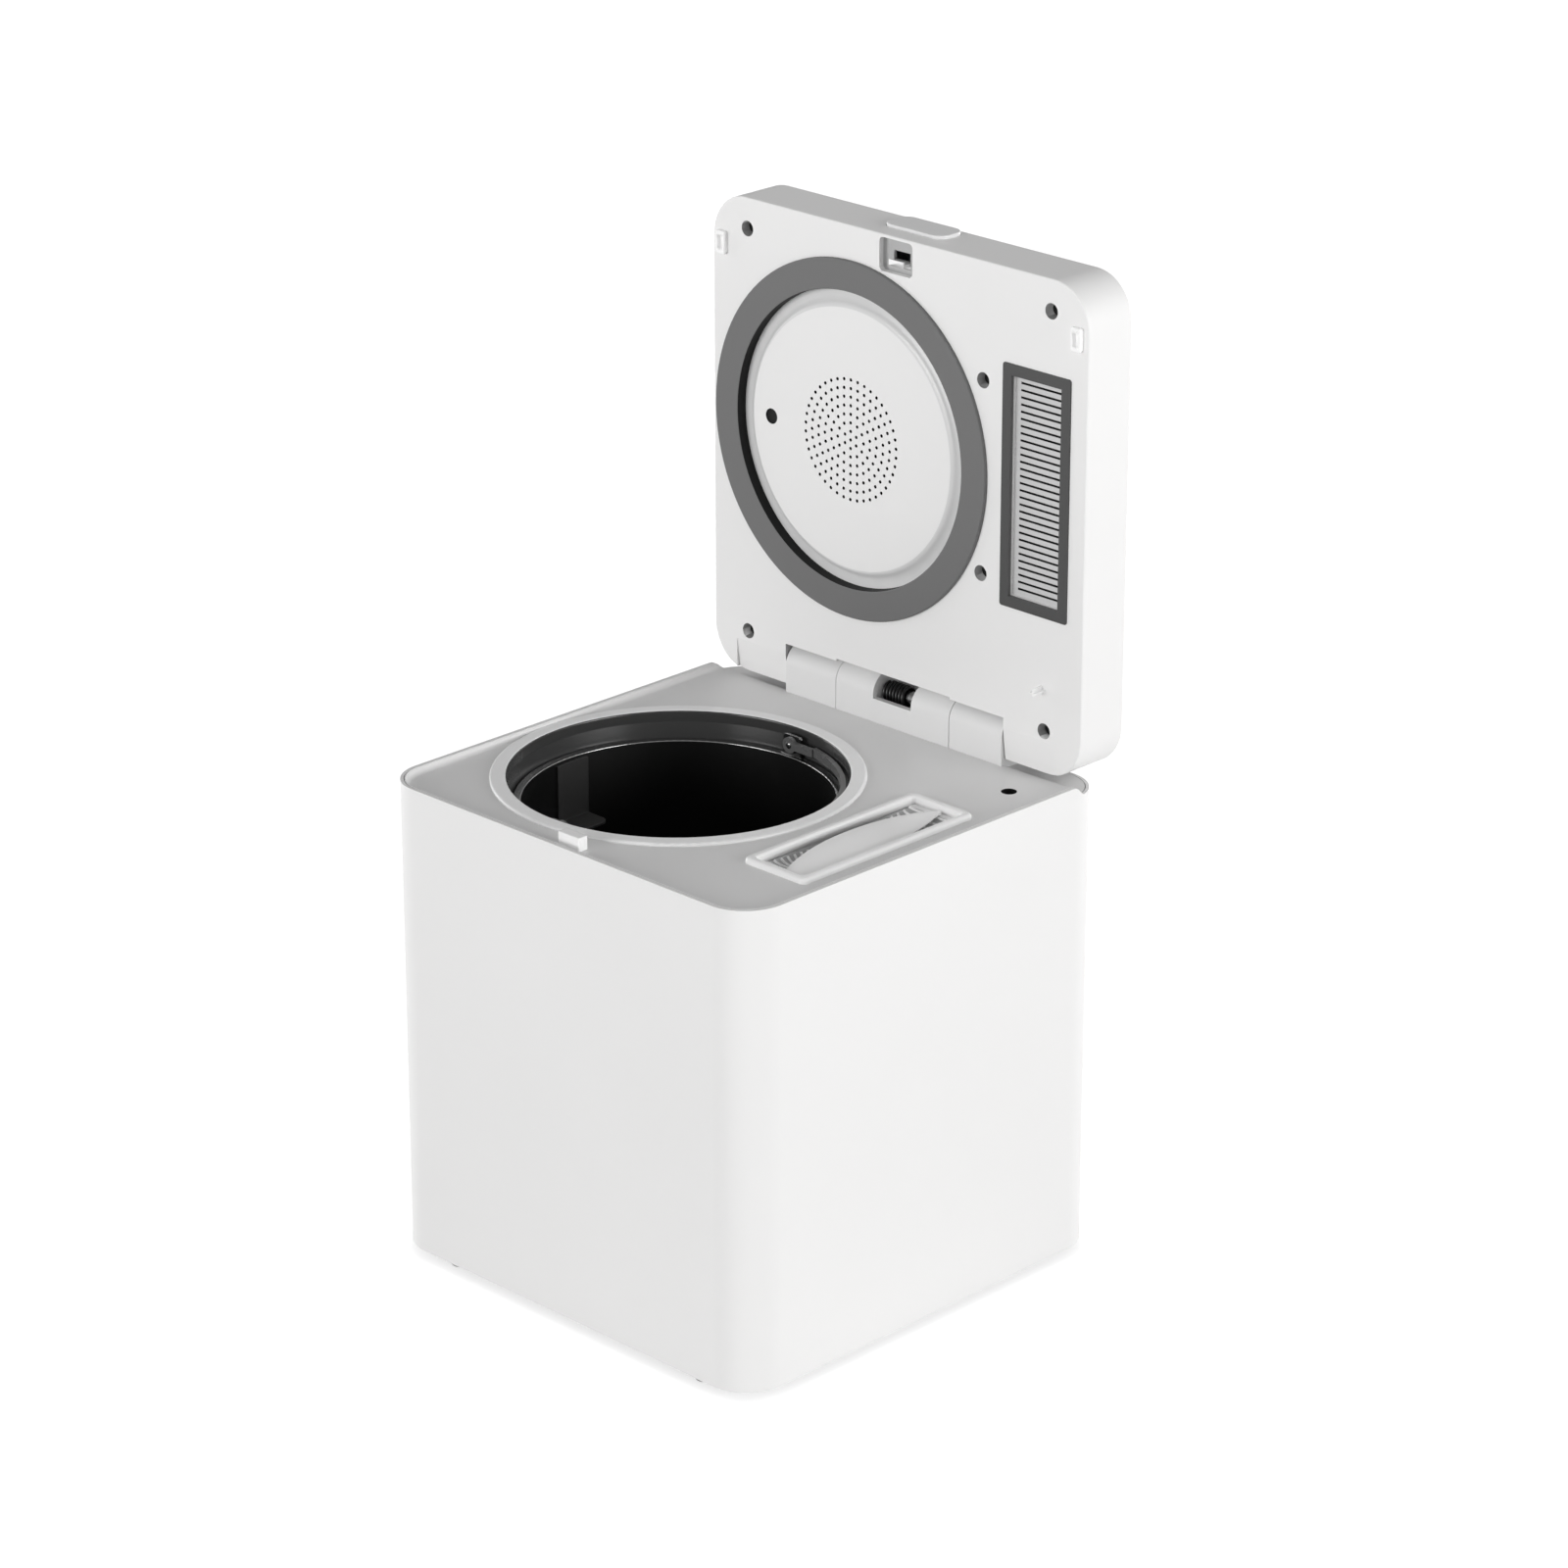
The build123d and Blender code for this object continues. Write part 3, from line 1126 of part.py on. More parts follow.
with BuildPart() as lid_body:
    with BuildSketch(lid_plane(seam_depth)):
        RectangleRounded(body_width, body_depth, corner_radius)
    extrude(amount=seam_depth)
    fillet(lid_body.edges().filter_by_position(Axis.Y, lid_y - 0.01, lid_y + 0.01), panel_edge_round)
    with BuildSketch(lid_plane(seam_depth + 1)):
        RectangleRounded(body_width - 2 * lid_wall, body_depth - 2 * lid_wall, corner_radius - lid_wall)
    extrude(amount=seam_depth + 1 - panel_thickness, mode=Mode.SUBTRACT)
    # walls round the recess for the hinge tower
    with BuildSketch(lid_plane(cut_depth + 2.2)):
        with Locations((0, (cut_top_outer + 2.2 - half_depth + 0.5) / 2)):
            Rectangle(2 * cut_half + 4.4, cut_top_outer + 2.2 + half_depth - 0.5)
        with Locations((0, cut_top_outer)):
            Rectangle(2 * tower_centre_half + 5, 2 * (cut_top_centre + 2.2 - cut_top_outer))
    extrude(amount=cut_depth + 2.2 - panel_thickness + 0.5)
    with BuildSketch(lid_plane(cut_depth)):
        with Locations((0, (cut_top_outer - half_depth - 10) / 2)):
            Rectangle(2 * cut_half, cut_top_outer + half_depth + 10)
        with Locations((0, cut_top_outer)):
            Rectangle(2 * tower_centre_half, 2 * (cut_top_centre - cut_top_outer))
    extrude(amount=cut_depth + 10, mode=Mode.SUBTRACT)
    # bosses for the screws
    with BuildSketch(lid_plane(boss_depth)):
        with Locations(screw_places):
            Circle(boss_radius)
    extrude(amount=boss_depth - panel_thickness + 0.5)
    # shallow bevel along the tail
    with BuildSketch(Plane.YZ.offset(-tail_bevel_half)):
        with BuildLine():
            Polyline((lid_y, lid_zero_z - half_depth + tail_bevel_length),
                     (lid_y + tail_bevel_depth * 1.1, lid_zero_z - half_depth - tail_bevel_length * 0.1),
                     (lid_y - 5, lid_zero_z - half_depth - tail_bevel_length * 0.1),
                     (lid_y - 5, lid_zero_z - half_depth + tail_bevel_length), close=True)
        make_face()
    extrude(amount=2 * tail_bevel_half, mode=Mode.SUBTRACT)
    # seats and openings on the inner face
    with BuildSketch(lid_plane(gasket_seat)):
        with Locations((gasket_x, gasket_up)):
            Circle(gasket_outer_radius)
        with Locations((port_gasket_x, port_up)):
            RectangleRounded(port_gasket_outer_width, port_gasket_outer_length, port_gasket_corner)
    extrude(amount=10, mode=Mode.SUBTRACT)
    with BuildSketch(lid_plane(panel_thickness + 1)):
        with Locations((gasket_x, gasket_up)):
            Circle(vent_seat_radius)
        with Locations((port_gasket_x, port_up)):
            Rectangle(port_hole_width, port_hole_length)
        with Locations((0, cup_up)):
            RectangleRounded(latch_cup_width, latch_cup_length, 3)
    extrude(amount=20, mode=Mode.SUBTRACT)
    with BuildSketch(lid_plane(screw_recess_depth)):
        with Locations(screw_places):
            Circle(screw_recess_radius)
    extrude(amount=10, mode=Mode.SUBTRACT)
    with BuildSketch(lid_plane(boss_depth + 1)):
        with Locations(screw_places):
            Circle(screw_radius)
    extrude(amount=20, mode=Mode.SUBTRACT)
    # hinge pin holes and the button's opening
    with BuildSketch(Plane.YZ.offset(-pin_half - 1)):
        with Locations((hinge_y, hinge_z)):
            Circle(hinge_pin_radius + 0.5)
    extrude(amount=2 * pin_half + 2, mode=Mode.SUBTRACT)
    with BuildSketch(Plane.XY.offset(lid_zero_z + half_depth - 6)):
        with Locations((0, lid_y + button_base + button_height / 2)):
            RectangleRounded(button_width + 2 * button_gap, button_height + 2 * button_gap,
                             button_radius + button_gap)
    extrude(amount=10, mode=Mode.SUBTRACT)
    # rib that the button's spring stands on
    with BuildSketch(lid_plane(slide_depth + 20)):
        with Locations((0, spring_rib)):
            Rectangle(14, 2.4)
    extrude(amount=slide_depth + 20 - panel_thickness + 0.5)
save(lid_body.part, "lid_body")

rim_outer_width = body_width - 2 * lid_wall - 0.4
rim_outer_depth = body_depth - 2 * lid_wall - 0.4
touch_width = 130.0
touch_length = 44.0
touch_up = half_depth - 54.0
with BuildPart() as lid_cover:
    with BuildSketch(lid_plane(lid_thickness)):
        RectangleRounded(body_width, body_depth, corner_radius)
    extrude(amount=lid_cover_wall)
    fillet(lid_cover.faces().sort_by(Axis.Y)[-1].edges(), lid_edge_round)
    with BuildSketch(lid_plane(seam_depth)):
        RectangleRounded(rim_outer_width, rim_outer_depth, corner_radius - lid_wall - 0.2)
        RectangleRounded(rim_outer_width - 3.2, rim_outer_depth - 3.2, corner_radius - lid_wall - 1.8,
                         mode=Mode.SUBTRACT)
        with Locations((0, half_depth)):
            Rectangle(button_width + 12, 30, mode=Mode.SUBTRACT)
    extrude(amount=3)
    with BuildSketch(lid_plane(lid_thickness + 1)):
        with Locations((0, touch_up)):
            RectangleRounded(touch_width + 0.4, touch_length + 0.4, 6.2)
    extrude(amount=1 + 1.2, mode=Mode.SUBTRACT)
save(lid_cover.part, "lid_cover")

with BuildPart() as touch_panel:
    with BuildSketch(lid_plane(lid_thickness)):
        with Locations((0, touch_up)):
            RectangleRounded(touch_width, touch_length, 6)
    extrude(amount=1.2)
save(touch_panel.part, "touch_panel")

with BuildPart() as touch_board:
    with BuildSketch(lid_plane(seam_depth - 4)):
        with Locations((0, touch_up)):
            Rectangle(touch_width - 18, touch_length - 10)
    extrude(amount=1.6)
    with BuildSketch(lid_plane(seam_depth)):
        with Locations((0, touch_up)):
            with GridLocations(touch_width - 28, touch_length - 20, 2, 2):
                Circle(2.5)
    extrude(amount=4.2)
save(touch_board.part, "touch_board")

gasket_axis = Axis((gasket_x, 0, lid_zero_z + gasket_up), (0, 1, 0))
gasket_plane = Plane(origin=(gasket_x, lid_y, lid_zero_z + gasket_up), x_dir=(1, 0, 0), z_dir=(0, 0, 1))
with BuildPart() as ring_gasket:
    with BuildSketch(gasket_plane) as gasket_section:
        with BuildLine():
            Polyline((gasket_inner_radius, -gasket_proud), (gasket_outer_radius, -gasket_proud),
                     (gasket_outer_radius, gasket_seat), (vent_seat_radius, gasket_seat),
                     (vent_seat_radius, vent_depth), (gasket_inner_radius, vent_depth), close=True)
        make_face()
        fillet(gasket_section.vertices().group_by(Axis.Y)[0], gasket_round)
    revolve(axis=gasket_axis)
save(ring_gasket.part, "ring_gasket")

plate_wall = 2.0
plate_sink = 0.7
flange_radius = gasket_inner_radius + vent_flange
vent_screw_x = gasket_x - vent_plateau_radius + vent_screw_inset
vent_places = [(0.0, 0.0)]
for ring in range(1, vent_rings + 1):
    for step in range(6 * ring):
        angle = radians(30 + 360 * step / (6 * ring))
        vent_places.append((ring * vent_hole_pitch * cos(angle), ring * vent_hole_pitch * sin(angle)))
with BuildPart() as vent_plate:
    with BuildSketch(gasket_plane):
        with BuildLine():
            Polyline((0, plate_sink), (vent_plateau_radius, plate_sink), (vent_slope_radius, vent_depth),
                     (flange_radius, vent_depth), (flange_radius, vent_depth + plate_wall),
                     (vent_slope_radius - 1, vent_depth + plate_wall),
                     (vent_plateau_radius - 1, plate_sink + plate_wall), (0, plate_sink + plate_wall),
                     close=True)
        make_face()
    revolve(axis=gasket_axis)
    with BuildSketch(lid_plane(10)):
        with Locations((gasket_x, gasket_up)):
            with Locations(vent_places):
                Circle(vent_hole_radius)
    extrude(amount=20, mode=Mode.SUBTRACT)
    with BuildSketch(lid_plane(vent_depth)):
        with Locations((gasket_x, gasket_up)):
            Circle(flange_radius)
            Circle(vent_seat_radius + 0.2, mode=Mode.SUBTRACT)
    extrude(amount=vent_depth - panel_thickness)
    with BuildSketch(lid_plane(plate_sink + 1)):
        with Locations((vent_screw_x, gasket_up)):
            Circle(screw_recess_radius)
    extrude(amount=10, mode=Mode.SUBTRACT)
save(vent_plate.part, "vent_plate")

with BuildPart() as port_gasket:
    with BuildSketch(lid_plane(port_gasket_seat)):
        with Locations((port_gasket_x, port_up)):
            RectangleRounded(port_gasket_outer_width, port_gasket_outer_length, port_gasket_corner)
    extrude(amount=port_gasket_seat + port_gasket_proud)
    fillet(port_gasket.faces().sort_by(Axis.Y)[0].edges(), 0.6)
    with BuildSketch(lid_plane(port_gasket_seat + 1)):
        with Locations((port_gasket_x, port_up)):
            Rectangle(port_hole_width, port_hole_length)
    extrude(amount=10, mode=Mode.SUBTRACT)
save(port_gasket.part, "port_gasket")

with BuildPart() as louvre_grille:
    with BuildSketch(lid_plane(panel_thickness + 2)):
        with Locations((port_gasket_x, port_up)):
            Rectangle(port_hole_width + 5, port_hole_length + 5)
    extrude(amount=2)
    with BuildSketch(lid_plane(panel_thickness + 4)):
        with Locations((port_gasket_x + 0.5, port_up)):
            with GridLocations(0, louvre_pitch, 1, louvre_slots):
                Rectangle(louvre_length, louvre_slot)
    extrude(amount=10, mode=Mode.SUBTRACT)
save(louvre_grille.part, "louvre_grille")

cup_wall = 1.5
slot_up = (slot_front + slot_back) / 2
with BuildPart() as latch_plate:
    with BuildSketch(lid_plane(latch_cup_depth + cup_wall)):
        with Locations((0, cup_up - 0.95)):
            RectangleRounded(latch_cup_width + 3, latch_cup_length + 1.1, 3)
    extrude(amount=latch_cup_depth + cup_wall - panel_thickness)
    with BuildSketch(lid_plane(latch_cup_depth)):
        with Locations((0, cup_up)):
            RectangleRounded(latch_cup_width, latch_cup_length, 3)
    extrude(amount=10, mode=Mode.SUBTRACT)
    with BuildSketch(lid_plane(latch_cup_depth + 5)):
        with Locations((0, slot_up)):
            Rectangle(latch_slot_width, latch_slot_length)
    extrude(amount=10, mode=Mode.SUBTRACT)
save(latch_plate.part, "latch_plate")

lug_inner = cut_half + 2.2 + 0.2
lug_outer = pin_half - 1
with BuildPart() as hinge_lugs:
    for side in (-1, 1):
        lug = Plane.YZ.offset(lug_inner if side > 0 else -lug_outer)
        with BuildSketch(lug):
            with Locations((hinge_y, hinge_z)):
                Circle(8)
            with Locations(((hinge_y + lid_y + seam_depth) / 2, hinge_z + 3.5)):
                Rectangle(lid_y + seam_depth - hinge_y, 23)
            with Locations((lid_y + seam_depth - 2, hinge_z + 10)):
                Rectangle(4, 36)
        extrude(amount=lug_outer - lug_inner)
    with BuildSketch(Plane.YZ.offset(-cut_through / 2)):
        with Locations((hinge_y, hinge_z)):
            Circle(hinge_pin_radius + running_gap)
    extrude(amount=cut_through, mode=Mode.SUBTRACT)
save(hinge_lugs.part, "hinge_lugs")

with BuildPart() as lid_screws:
    with BuildSketch(lid_plane(screw_recess_depth)):
        with Locations(screw_places):
            Circle(screw_recess_radius - screw_head_gap)
    extrude(amount=screw_head_height)
    with BuildSketch(lid_plane(boss_depth - 1)):
        with Locations(screw_places):
            Circle(screw_radius)
    extrude(amount=boss_depth - 1 - screw_recess_depth + 0.2)
    with BuildSketch(lid_plane(screw_recess_depth - screw_head_height + 1.2)):
        with Locations(screw_places):
            Rectangle(4.2, 0.9)
            Rectangle(0.9, 4.2)
    extrude(amount=5, mode=Mode.SUBTRACT)
save(lid_screws.part, "lid_screws")

hook_x = half_width - hook_inset_side
hook_up = half_depth - hook_inset_front
with BuildPart() as panel_hooks:
    with BuildSketch(lid_plane(0)):
        with Locations((-hook_x, hook_up), (hook_x, hook_up)):
            RectangleRounded(7.8, 14.4, 1.5)
    extrude(amount=2.8)
    fillet(panel_hooks.faces().filter_by(Axis.Y).group_by(Axis.Y)[0].edges(), 0.6)
    with BuildSketch(lid_plane(-0.8)):
        with Locations((-hook_x, hook_up), (hook_x, hook_up)):
            SlotOverall(9, 3.4, rotation=90)
    extrude(amount=5, mode=Mode.SUBTRACT)
save(panel_hooks.part, "panel_hooks")

peg_up = -switch_y
with BuildPart() as switch_peg:
    with BuildSketch(lid_plane(0)):
        with Locations((switch_x, peg_up)):
            Rectangle(5.6, 1.4)
            Rectangle(1.4, 5.6)
            Circle(1.2)
    extrude(amount=peg_reach, taper=5)
save(switch_peg.part, "switch_peg")

# ================================================================ release button and hook
button_middle = lid_y + button_base + button_height / 2
button_inside = half_depth - 6.0
with BuildPart() as release_button:
    with BuildSketch(Plane.XY.offset(lid_zero_z + half_depth - 3)):
        with Locations((0, button_middle)):
            RectangleRounded(button_width, button_height, button_radius)
    extrude(amount=3 + button_proud)
    fillet(release_button.faces().sort_by(Axis.Z)[-1].edges(), 0.8)
    with BuildSketch(Plane.XY.offset(lid_zero_z + button_inside)):
        with Locations((0, button_middle - 0.6)):
            RectangleRounded(button_width + 6, button_height - 1.4, 4)
    extrude(amount=half_depth - lid_wall - 0.5 - button_inside)
    with BuildSketch(Plane.XY.offset(lid_zero_z + half_depth - 4)):
        with Locations((0, button_middle - 0.6)):
            RectangleRounded(button_width - 2, button_height - 2.4, 6)
    extrude(amount=3)
save(release_button.part, "release_button")

nose_half = latch_slot_width / 2 - 0.8
nose_back = slot_back + 2.2
nose_root = nose_back + 1.8
nose_front = nose_root + 1.8
rail_x = latch_slot_width / 2 + 3.2
rail_width = 4.4
rail_low = nose_back - 9.2
web_low = nose_back - 12.2
web_high = nose_root
with BuildPart() as latch_hook:
    with BuildSketch(lid_plane(slide_depth + slide_wall)):
        with Locations((0, (web_low + web_high) / 2)):
            Rectangle(2 * rail_x + rail_width, web_high - web_low)
        with Locations((-rail_x, (rail_low + button_inside) / 2), (rail_x, (rail_low + button_inside) / 2)):
            Rectangle(rail_width, button_inside - rail_low)
    extrude(amount=slide_wall)
    with BuildSketch(lid_plane(slide_depth + 0.5)):
        with Locations((0, (nose_back + nose_root) / 2)):
            Rectangle(2 * nose_half, nose_root - nose_back)
    extrude(amount=slide_depth + 0.5 - 0.2)
    with BuildSketch(lid_plane(1.5)):
        with Locations((0, (nose_back + nose_front) / 2)):
            Rectangle(2 * nose_half, nose_front - nose_back)
    extrude(amount=1.3)
    with BuildSketch(lid_plane(slide_depth + 14)):
        with Locations((-rail_x, button_inside - 1.25), (rail_x, button_inside - 1.25)):
            Rectangle(rail_width, 2.5)
    extrude(amount=14)
    with BuildSketch(lid_plane(slide_depth + 14)):
        with Locations((0, button_inside - 1.25)):
            Rectangle(2 * rail_x + rail_width, 2.5)
    extrude(amount=6)
save(latch_hook.part, "latch_hook")

spring_low = spring_rib + 1.2
spring_high = button_inside - 2.5
return_wire = 0.5
return_radius = 4.0
return_height = spring_high - spring_low - 2 * return_wire
with BuildPart() as latch_spring:
    with BuildLine() as return_coil:
        Helix(return_height / 7, return_height, return_radius,
              center=(0, lid_y + slide_depth + 11, lid_zero_z + spring_low + return_wire), direction=(0, 0, 1))
    with BuildSketch(Plane(origin=return_coil.line @ 0, z_dir=return_coil.line % 0)):
        Circle(return_wire)
    sweep(is_frenet=True)
save(latch_spring.part, "latch_spring")
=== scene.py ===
# %% [markdown]
# # A countertop food waste composter
#
# The machine is a square white box with its lid standing open.  Under the lid are a round bucket with a
# folded bail handle, a carbon filter in its own port, and a hinge tower.  The solid parts come packed and
# placed; this lesson gives each of them a finish, softens their edges, and adds the small shapes that only
# matter to the eye.

import json
import math

import bmesh
import bpy
import numpy as np
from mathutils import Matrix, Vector


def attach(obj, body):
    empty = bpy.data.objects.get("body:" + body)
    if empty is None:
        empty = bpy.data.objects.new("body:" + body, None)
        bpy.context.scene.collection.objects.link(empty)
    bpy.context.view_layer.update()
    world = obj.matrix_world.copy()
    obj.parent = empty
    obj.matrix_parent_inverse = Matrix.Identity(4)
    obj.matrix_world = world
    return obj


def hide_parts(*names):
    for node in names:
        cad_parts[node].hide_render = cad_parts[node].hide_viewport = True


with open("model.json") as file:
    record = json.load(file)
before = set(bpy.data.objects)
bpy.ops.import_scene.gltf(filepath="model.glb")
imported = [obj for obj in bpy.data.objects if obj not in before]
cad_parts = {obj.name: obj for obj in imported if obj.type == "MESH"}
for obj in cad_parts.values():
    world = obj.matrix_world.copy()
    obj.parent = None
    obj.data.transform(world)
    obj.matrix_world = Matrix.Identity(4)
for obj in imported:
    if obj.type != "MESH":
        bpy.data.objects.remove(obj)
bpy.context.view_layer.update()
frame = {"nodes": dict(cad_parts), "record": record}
nodes = frame["nodes"]

# %% [markdown]
# The scene is in metres, as the frame is.  The measures that the pieces share are easier to read in
# millimetres, so they are kept that way in one place and multiplied by MM where a point is made.  The deck
# is level at 300 mm.  The open lid's inner face is upright, and its middle is 454 mm above the table, so a
# place on the lid is a pair of across (X) and up (Z).

# %% shared measures, in mm
MM = 0.001
DECK = 300.0
BUCKET_AXIS = (-36.5, -18.5)
SWITCH = (119.0, 98.0)
PORT_X, PORT_Y = 109.0, -16.8
LID_FACE_Y, LID_MIDDLE = 124.7, 454.0
GASKET = (-36.2, LID_MIDDLE + 18.5)
VENT_SCREW = (-101.9, LID_MIDDLE + 18.5)
LOUVRE = (112.0, LID_MIDDLE + 20.15)
PORT_GASKET_X = 111.5

# %% [markdown]
# ## The camera
#
# A long lens from far away keeps upright edges nearly parallel, which suits a square machine.  The camera
# is built from a viewing direction: `back` points from the object to the camera, `right` and `up` lie in the
# image plane.  Those three vectors are the columns of its rotation.

# %% camera
DISTANCE, SHIFT_RIGHT, SHIFT_UP = 3.2087, 0.02284, 0.08664
azimuth = math.radians(44.57)
elevation = math.radians(21.69)
level = math.cos(elevation)
back = Vector((math.sin(azimuth) * level, -math.cos(azimuth) * level, math.sin(elevation)))
right = Vector((math.cos(azimuth), math.sin(azimuth), 0))
up = back.cross(right)
aim = Vector((0, 0, 206 * MM))
eye = aim + back * DISTANCE + right * SHIFT_RIGHT + up * SHIFT_UP
camera = bpy.data.objects.new("camera", bpy.data.cameras.new("camera"))
bpy.context.scene.collection.objects.link(camera)
turned = camera.matrix_world.copy()
for row in range(3):
    for column, axis in enumerate((right, up, back, eye)):
        turned[row][column] = axis[row]
camera.matrix_world = turned
camera.data.sensor_width = 36
camera.data.lens = 124.91
camera.data.clip_end = 30
bpy.context.scene.camera = camera
print("camera at", tuple(round(v, 3) for v in eye))

# %% [markdown]
# ## Nodes in few words
#
# Every finish is a small network of shader nodes.  These helpers add a node, join two sockets, and start a
# node group with named inputs and outputs, so that the finishes below read like recipes.

# %% helpers for shader nodes
def add(tree, kind, **values):
    """Adds one node and sets its plain properties."""
    node = tree.nodes.new(kind)
    for key, value in values.items():
        setattr(node, key, value)
    return node


def join(tree, out, into):
    tree.links.new(out, into)


def new_group(name, inputs, outputs):
    """Starts a node group.  inputs and outputs are (name, socket type, default) rows."""
    tree = bpy.data.node_groups.new(name, "ShaderNodeTree")
    for label, kind, default in inputs:
        socket = tree.interface.new_socket(label, in_out="INPUT", socket_type=kind)
        socket.default_value = default
    for label, kind in outputs:
        tree.interface.new_socket(label, in_out="OUTPUT", socket_type=kind)
    return tree, add(tree, "NodeGroupInput"), add(tree, "NodeGroupOutput")


def math_node(tree, operation, first, second, clamp=False):
    node = add(tree, "ShaderNodeMath", operation=operation, use_clamp=clamp)
    for index, value in enumerate((first, second)):
        if isinstance(value, (int, float)):
            node.inputs[index].default_value = value
        else:
            join(tree, value, node.inputs[index])
    return node.outputs[0]


# %% [markdown]
# ## Moulded plastic
#
# The casing is injection-moulded.  Close up, such a surface has a fine spark-eroded grain, and its gloss is
# never quite even.  The group below mixes a fine noise for the grain with two broad noises, one for a barely
# visible cloud in the colour and one for the gloss.

# %% node group: moulded grain
FLOAT, COLOR = "NodeSocketFloat", "NodeSocketColor"


def make_moulded_group():
    tree, gin, gout = new_group(
        "moulded grain",
        [("Color", COLOR, (0.8, 0.8, 0.8, 1)), ("Cloud", FLOAT, 0.02), ("Roughness", FLOAT, 0.45),
         ("Roughness spread", FLOAT, 0.06), ("Grain size mm", FLOAT, 0.5)],
        [("Color", COLOR), ("Roughness", FLOAT), ("Height", FLOAT)])
    place = add(tree, "ShaderNodeTexCoord")
    per_metre = math_node(tree, "DIVIDE", 1000.0, gin.outputs["Grain size mm"])
    grain = add(tree, "ShaderNodeTexNoise", noise_dimensions="3D")
    grain.inputs["Detail"].default_value = 2.0
    join(tree, place.outputs["Object"], grain.inputs["Vector"])
    join(tree, per_metre, grain.inputs["Scale"])
    cloud = add(tree, "ShaderNodeTexNoise")
    cloud.inputs["Scale"].default_value = 9.0
    cloud.inputs["Detail"].default_value = 3.0
    join(tree, place.outputs["Object"], cloud.inputs["Vector"])
    centred = math_node(tree, "SUBTRACT", cloud.outputs["Fac"], 0.5)
    swing = math_node(tree, "MULTIPLY", centred, gin.outputs["Cloud"])
    level = math_node(tree, "ADD", swing, 1.0)
    tint = add(tree, "ShaderNodeVectorMath", operation="SCALE")
    join(tree, gin.outputs["Color"], tint.inputs[0])
    join(tree, level, tint.inputs["Scale"])
    join(tree, tint.outputs["Vector"], gout.inputs["Color"])
    gloss = add(tree, "ShaderNodeTexNoise")
    gloss.inputs["Scale"].default_value = 26.0
    gloss.inputs["Detail"].default_value = 4.0
    join(tree, place.outputs["Object"], gloss.inputs["Vector"])
    spread = math_node(tree, "MULTIPLY", math_node(tree, "SUBTRACT", gloss.outputs["Fac"], 0.5),
                       gin.outputs["Roughness spread"])
    join(tree, math_node(tree, "ADD", gin.outputs["Roughness"], spread), gout.inputs["Roughness"])
    join(tree, grain.outputs["Fac"], gout.inputs["Height"])
    return tree


moulded_group = make_moulded_group()


# %% [markdown]
# ## Worked metal
#
# Turned shafts, sheet and stainless arms carry fine parallel marks from the tool or the rolling mill.  A
# noise stretched along one direction gives them.  The group takes the direction as three scale factors.

# %% node group: worked metal
def make_metal_group():
    tree, gin, gout = new_group(
        "worked metal",
        [("Color", COLOR, (0.6, 0.6, 0.6, 1)), ("Roughness", FLOAT, 0.32), ("Mark contrast", FLOAT, 0.25),
         ("Scale X", FLOAT, 60.0), ("Scale Y", FLOAT, 60.0), ("Scale Z", FLOAT, 1500.0)],
        [("Color", COLOR), ("Roughness", FLOAT), ("Height", FLOAT)])
    place = add(tree, "ShaderNodeTexCoord")
    stretch = add(tree, "ShaderNodeCombineXYZ")
    for axis in "XYZ":
        join(tree, gin.outputs["Scale " + axis], stretch.inputs[axis])
    scaled = add(tree, "ShaderNodeVectorMath", operation="MULTIPLY")
    join(tree, place.outputs["Object"], scaled.inputs[0])
    join(tree, stretch.outputs["Vector"], scaled.inputs[1])
    marks = add(tree, "ShaderNodeTexNoise")
    marks.inputs["Scale"].default_value = 1.0
    marks.inputs["Detail"].default_value = 4.0
    join(tree, scaled.outputs["Vector"], marks.inputs["Vector"])
    centred = math_node(tree, "SUBTRACT", marks.outputs["Fac"], 0.5)
    swing = math_node(tree, "MULTIPLY", centred, gin.outputs["Mark contrast"])
    tint = add(tree, "ShaderNodeVectorMath", operation="SCALE")
    join(tree, gin.outputs["Color"], tint.inputs[0])
    join(tree, math_node(tree, "ADD", swing, 1.0), tint.inputs["Scale"])
    join(tree, tint.outputs["Vector"], gout.inputs["Color"])
    join(tree, math_node(tree, "ADD", gin.outputs["Roughness"], swing, clamp=True), gout.inputs["Roughness"])
    join(tree, marks.outputs["Fac"], gout.inputs["Height"])
    return tree


metal_group = make_metal_group()


# %% [markdown]
# ## Finishes
#
# Each finish places one of the groups in a material with its own values, through a Bump node into one
# Principled BSDF.  Numbers that are the same all over, such as coat or specular level, sit on the shader.

# %% making a material from a group
def blank_material(name):
    material = bpy.data.materials.new(name)
    material.use_nodes = True
    tree = material.node_tree
    tree.nodes.clear()
    shader = add(tree, "ShaderNodeBsdfPrincipled")
    out = add(tree, "ShaderNodeOutputMaterial")
    join(tree, shader.outputs["BSDF"], out.inputs["Surface"])
    return material, tree, shader


def wire_group(tree, shader, group, values, bump_mm):
    """Places a group, sets its inputs, and leads its outputs to the shader."""
    node = add(tree, "ShaderNodeGroup", node_tree=group)
    for key, value in values.items():
        node.inputs[key].default_value = value
    join(tree, node.outputs["Color"], shader.inputs["Base Color"])
    join(tree, node.outputs["Roughness"], shader.inputs["Roughness"])
    bump = add(tree, "ShaderNodeBump")
    bump.inputs["Strength"].default_value = 1.0
    bump.inputs["Distance"].default_value = bump_mm * MM
    join(tree, node.outputs["Height"], bump.inputs["Height"])
    join(tree, bump.outputs["Normal"], shader.inputs["Normal"])


def grey(value, tilt=0.0):
    """A neutral colour; tilt warms it when positive and cools it when negative."""
    return (value * (1 + tilt), value, value * (1 - tilt), 1)


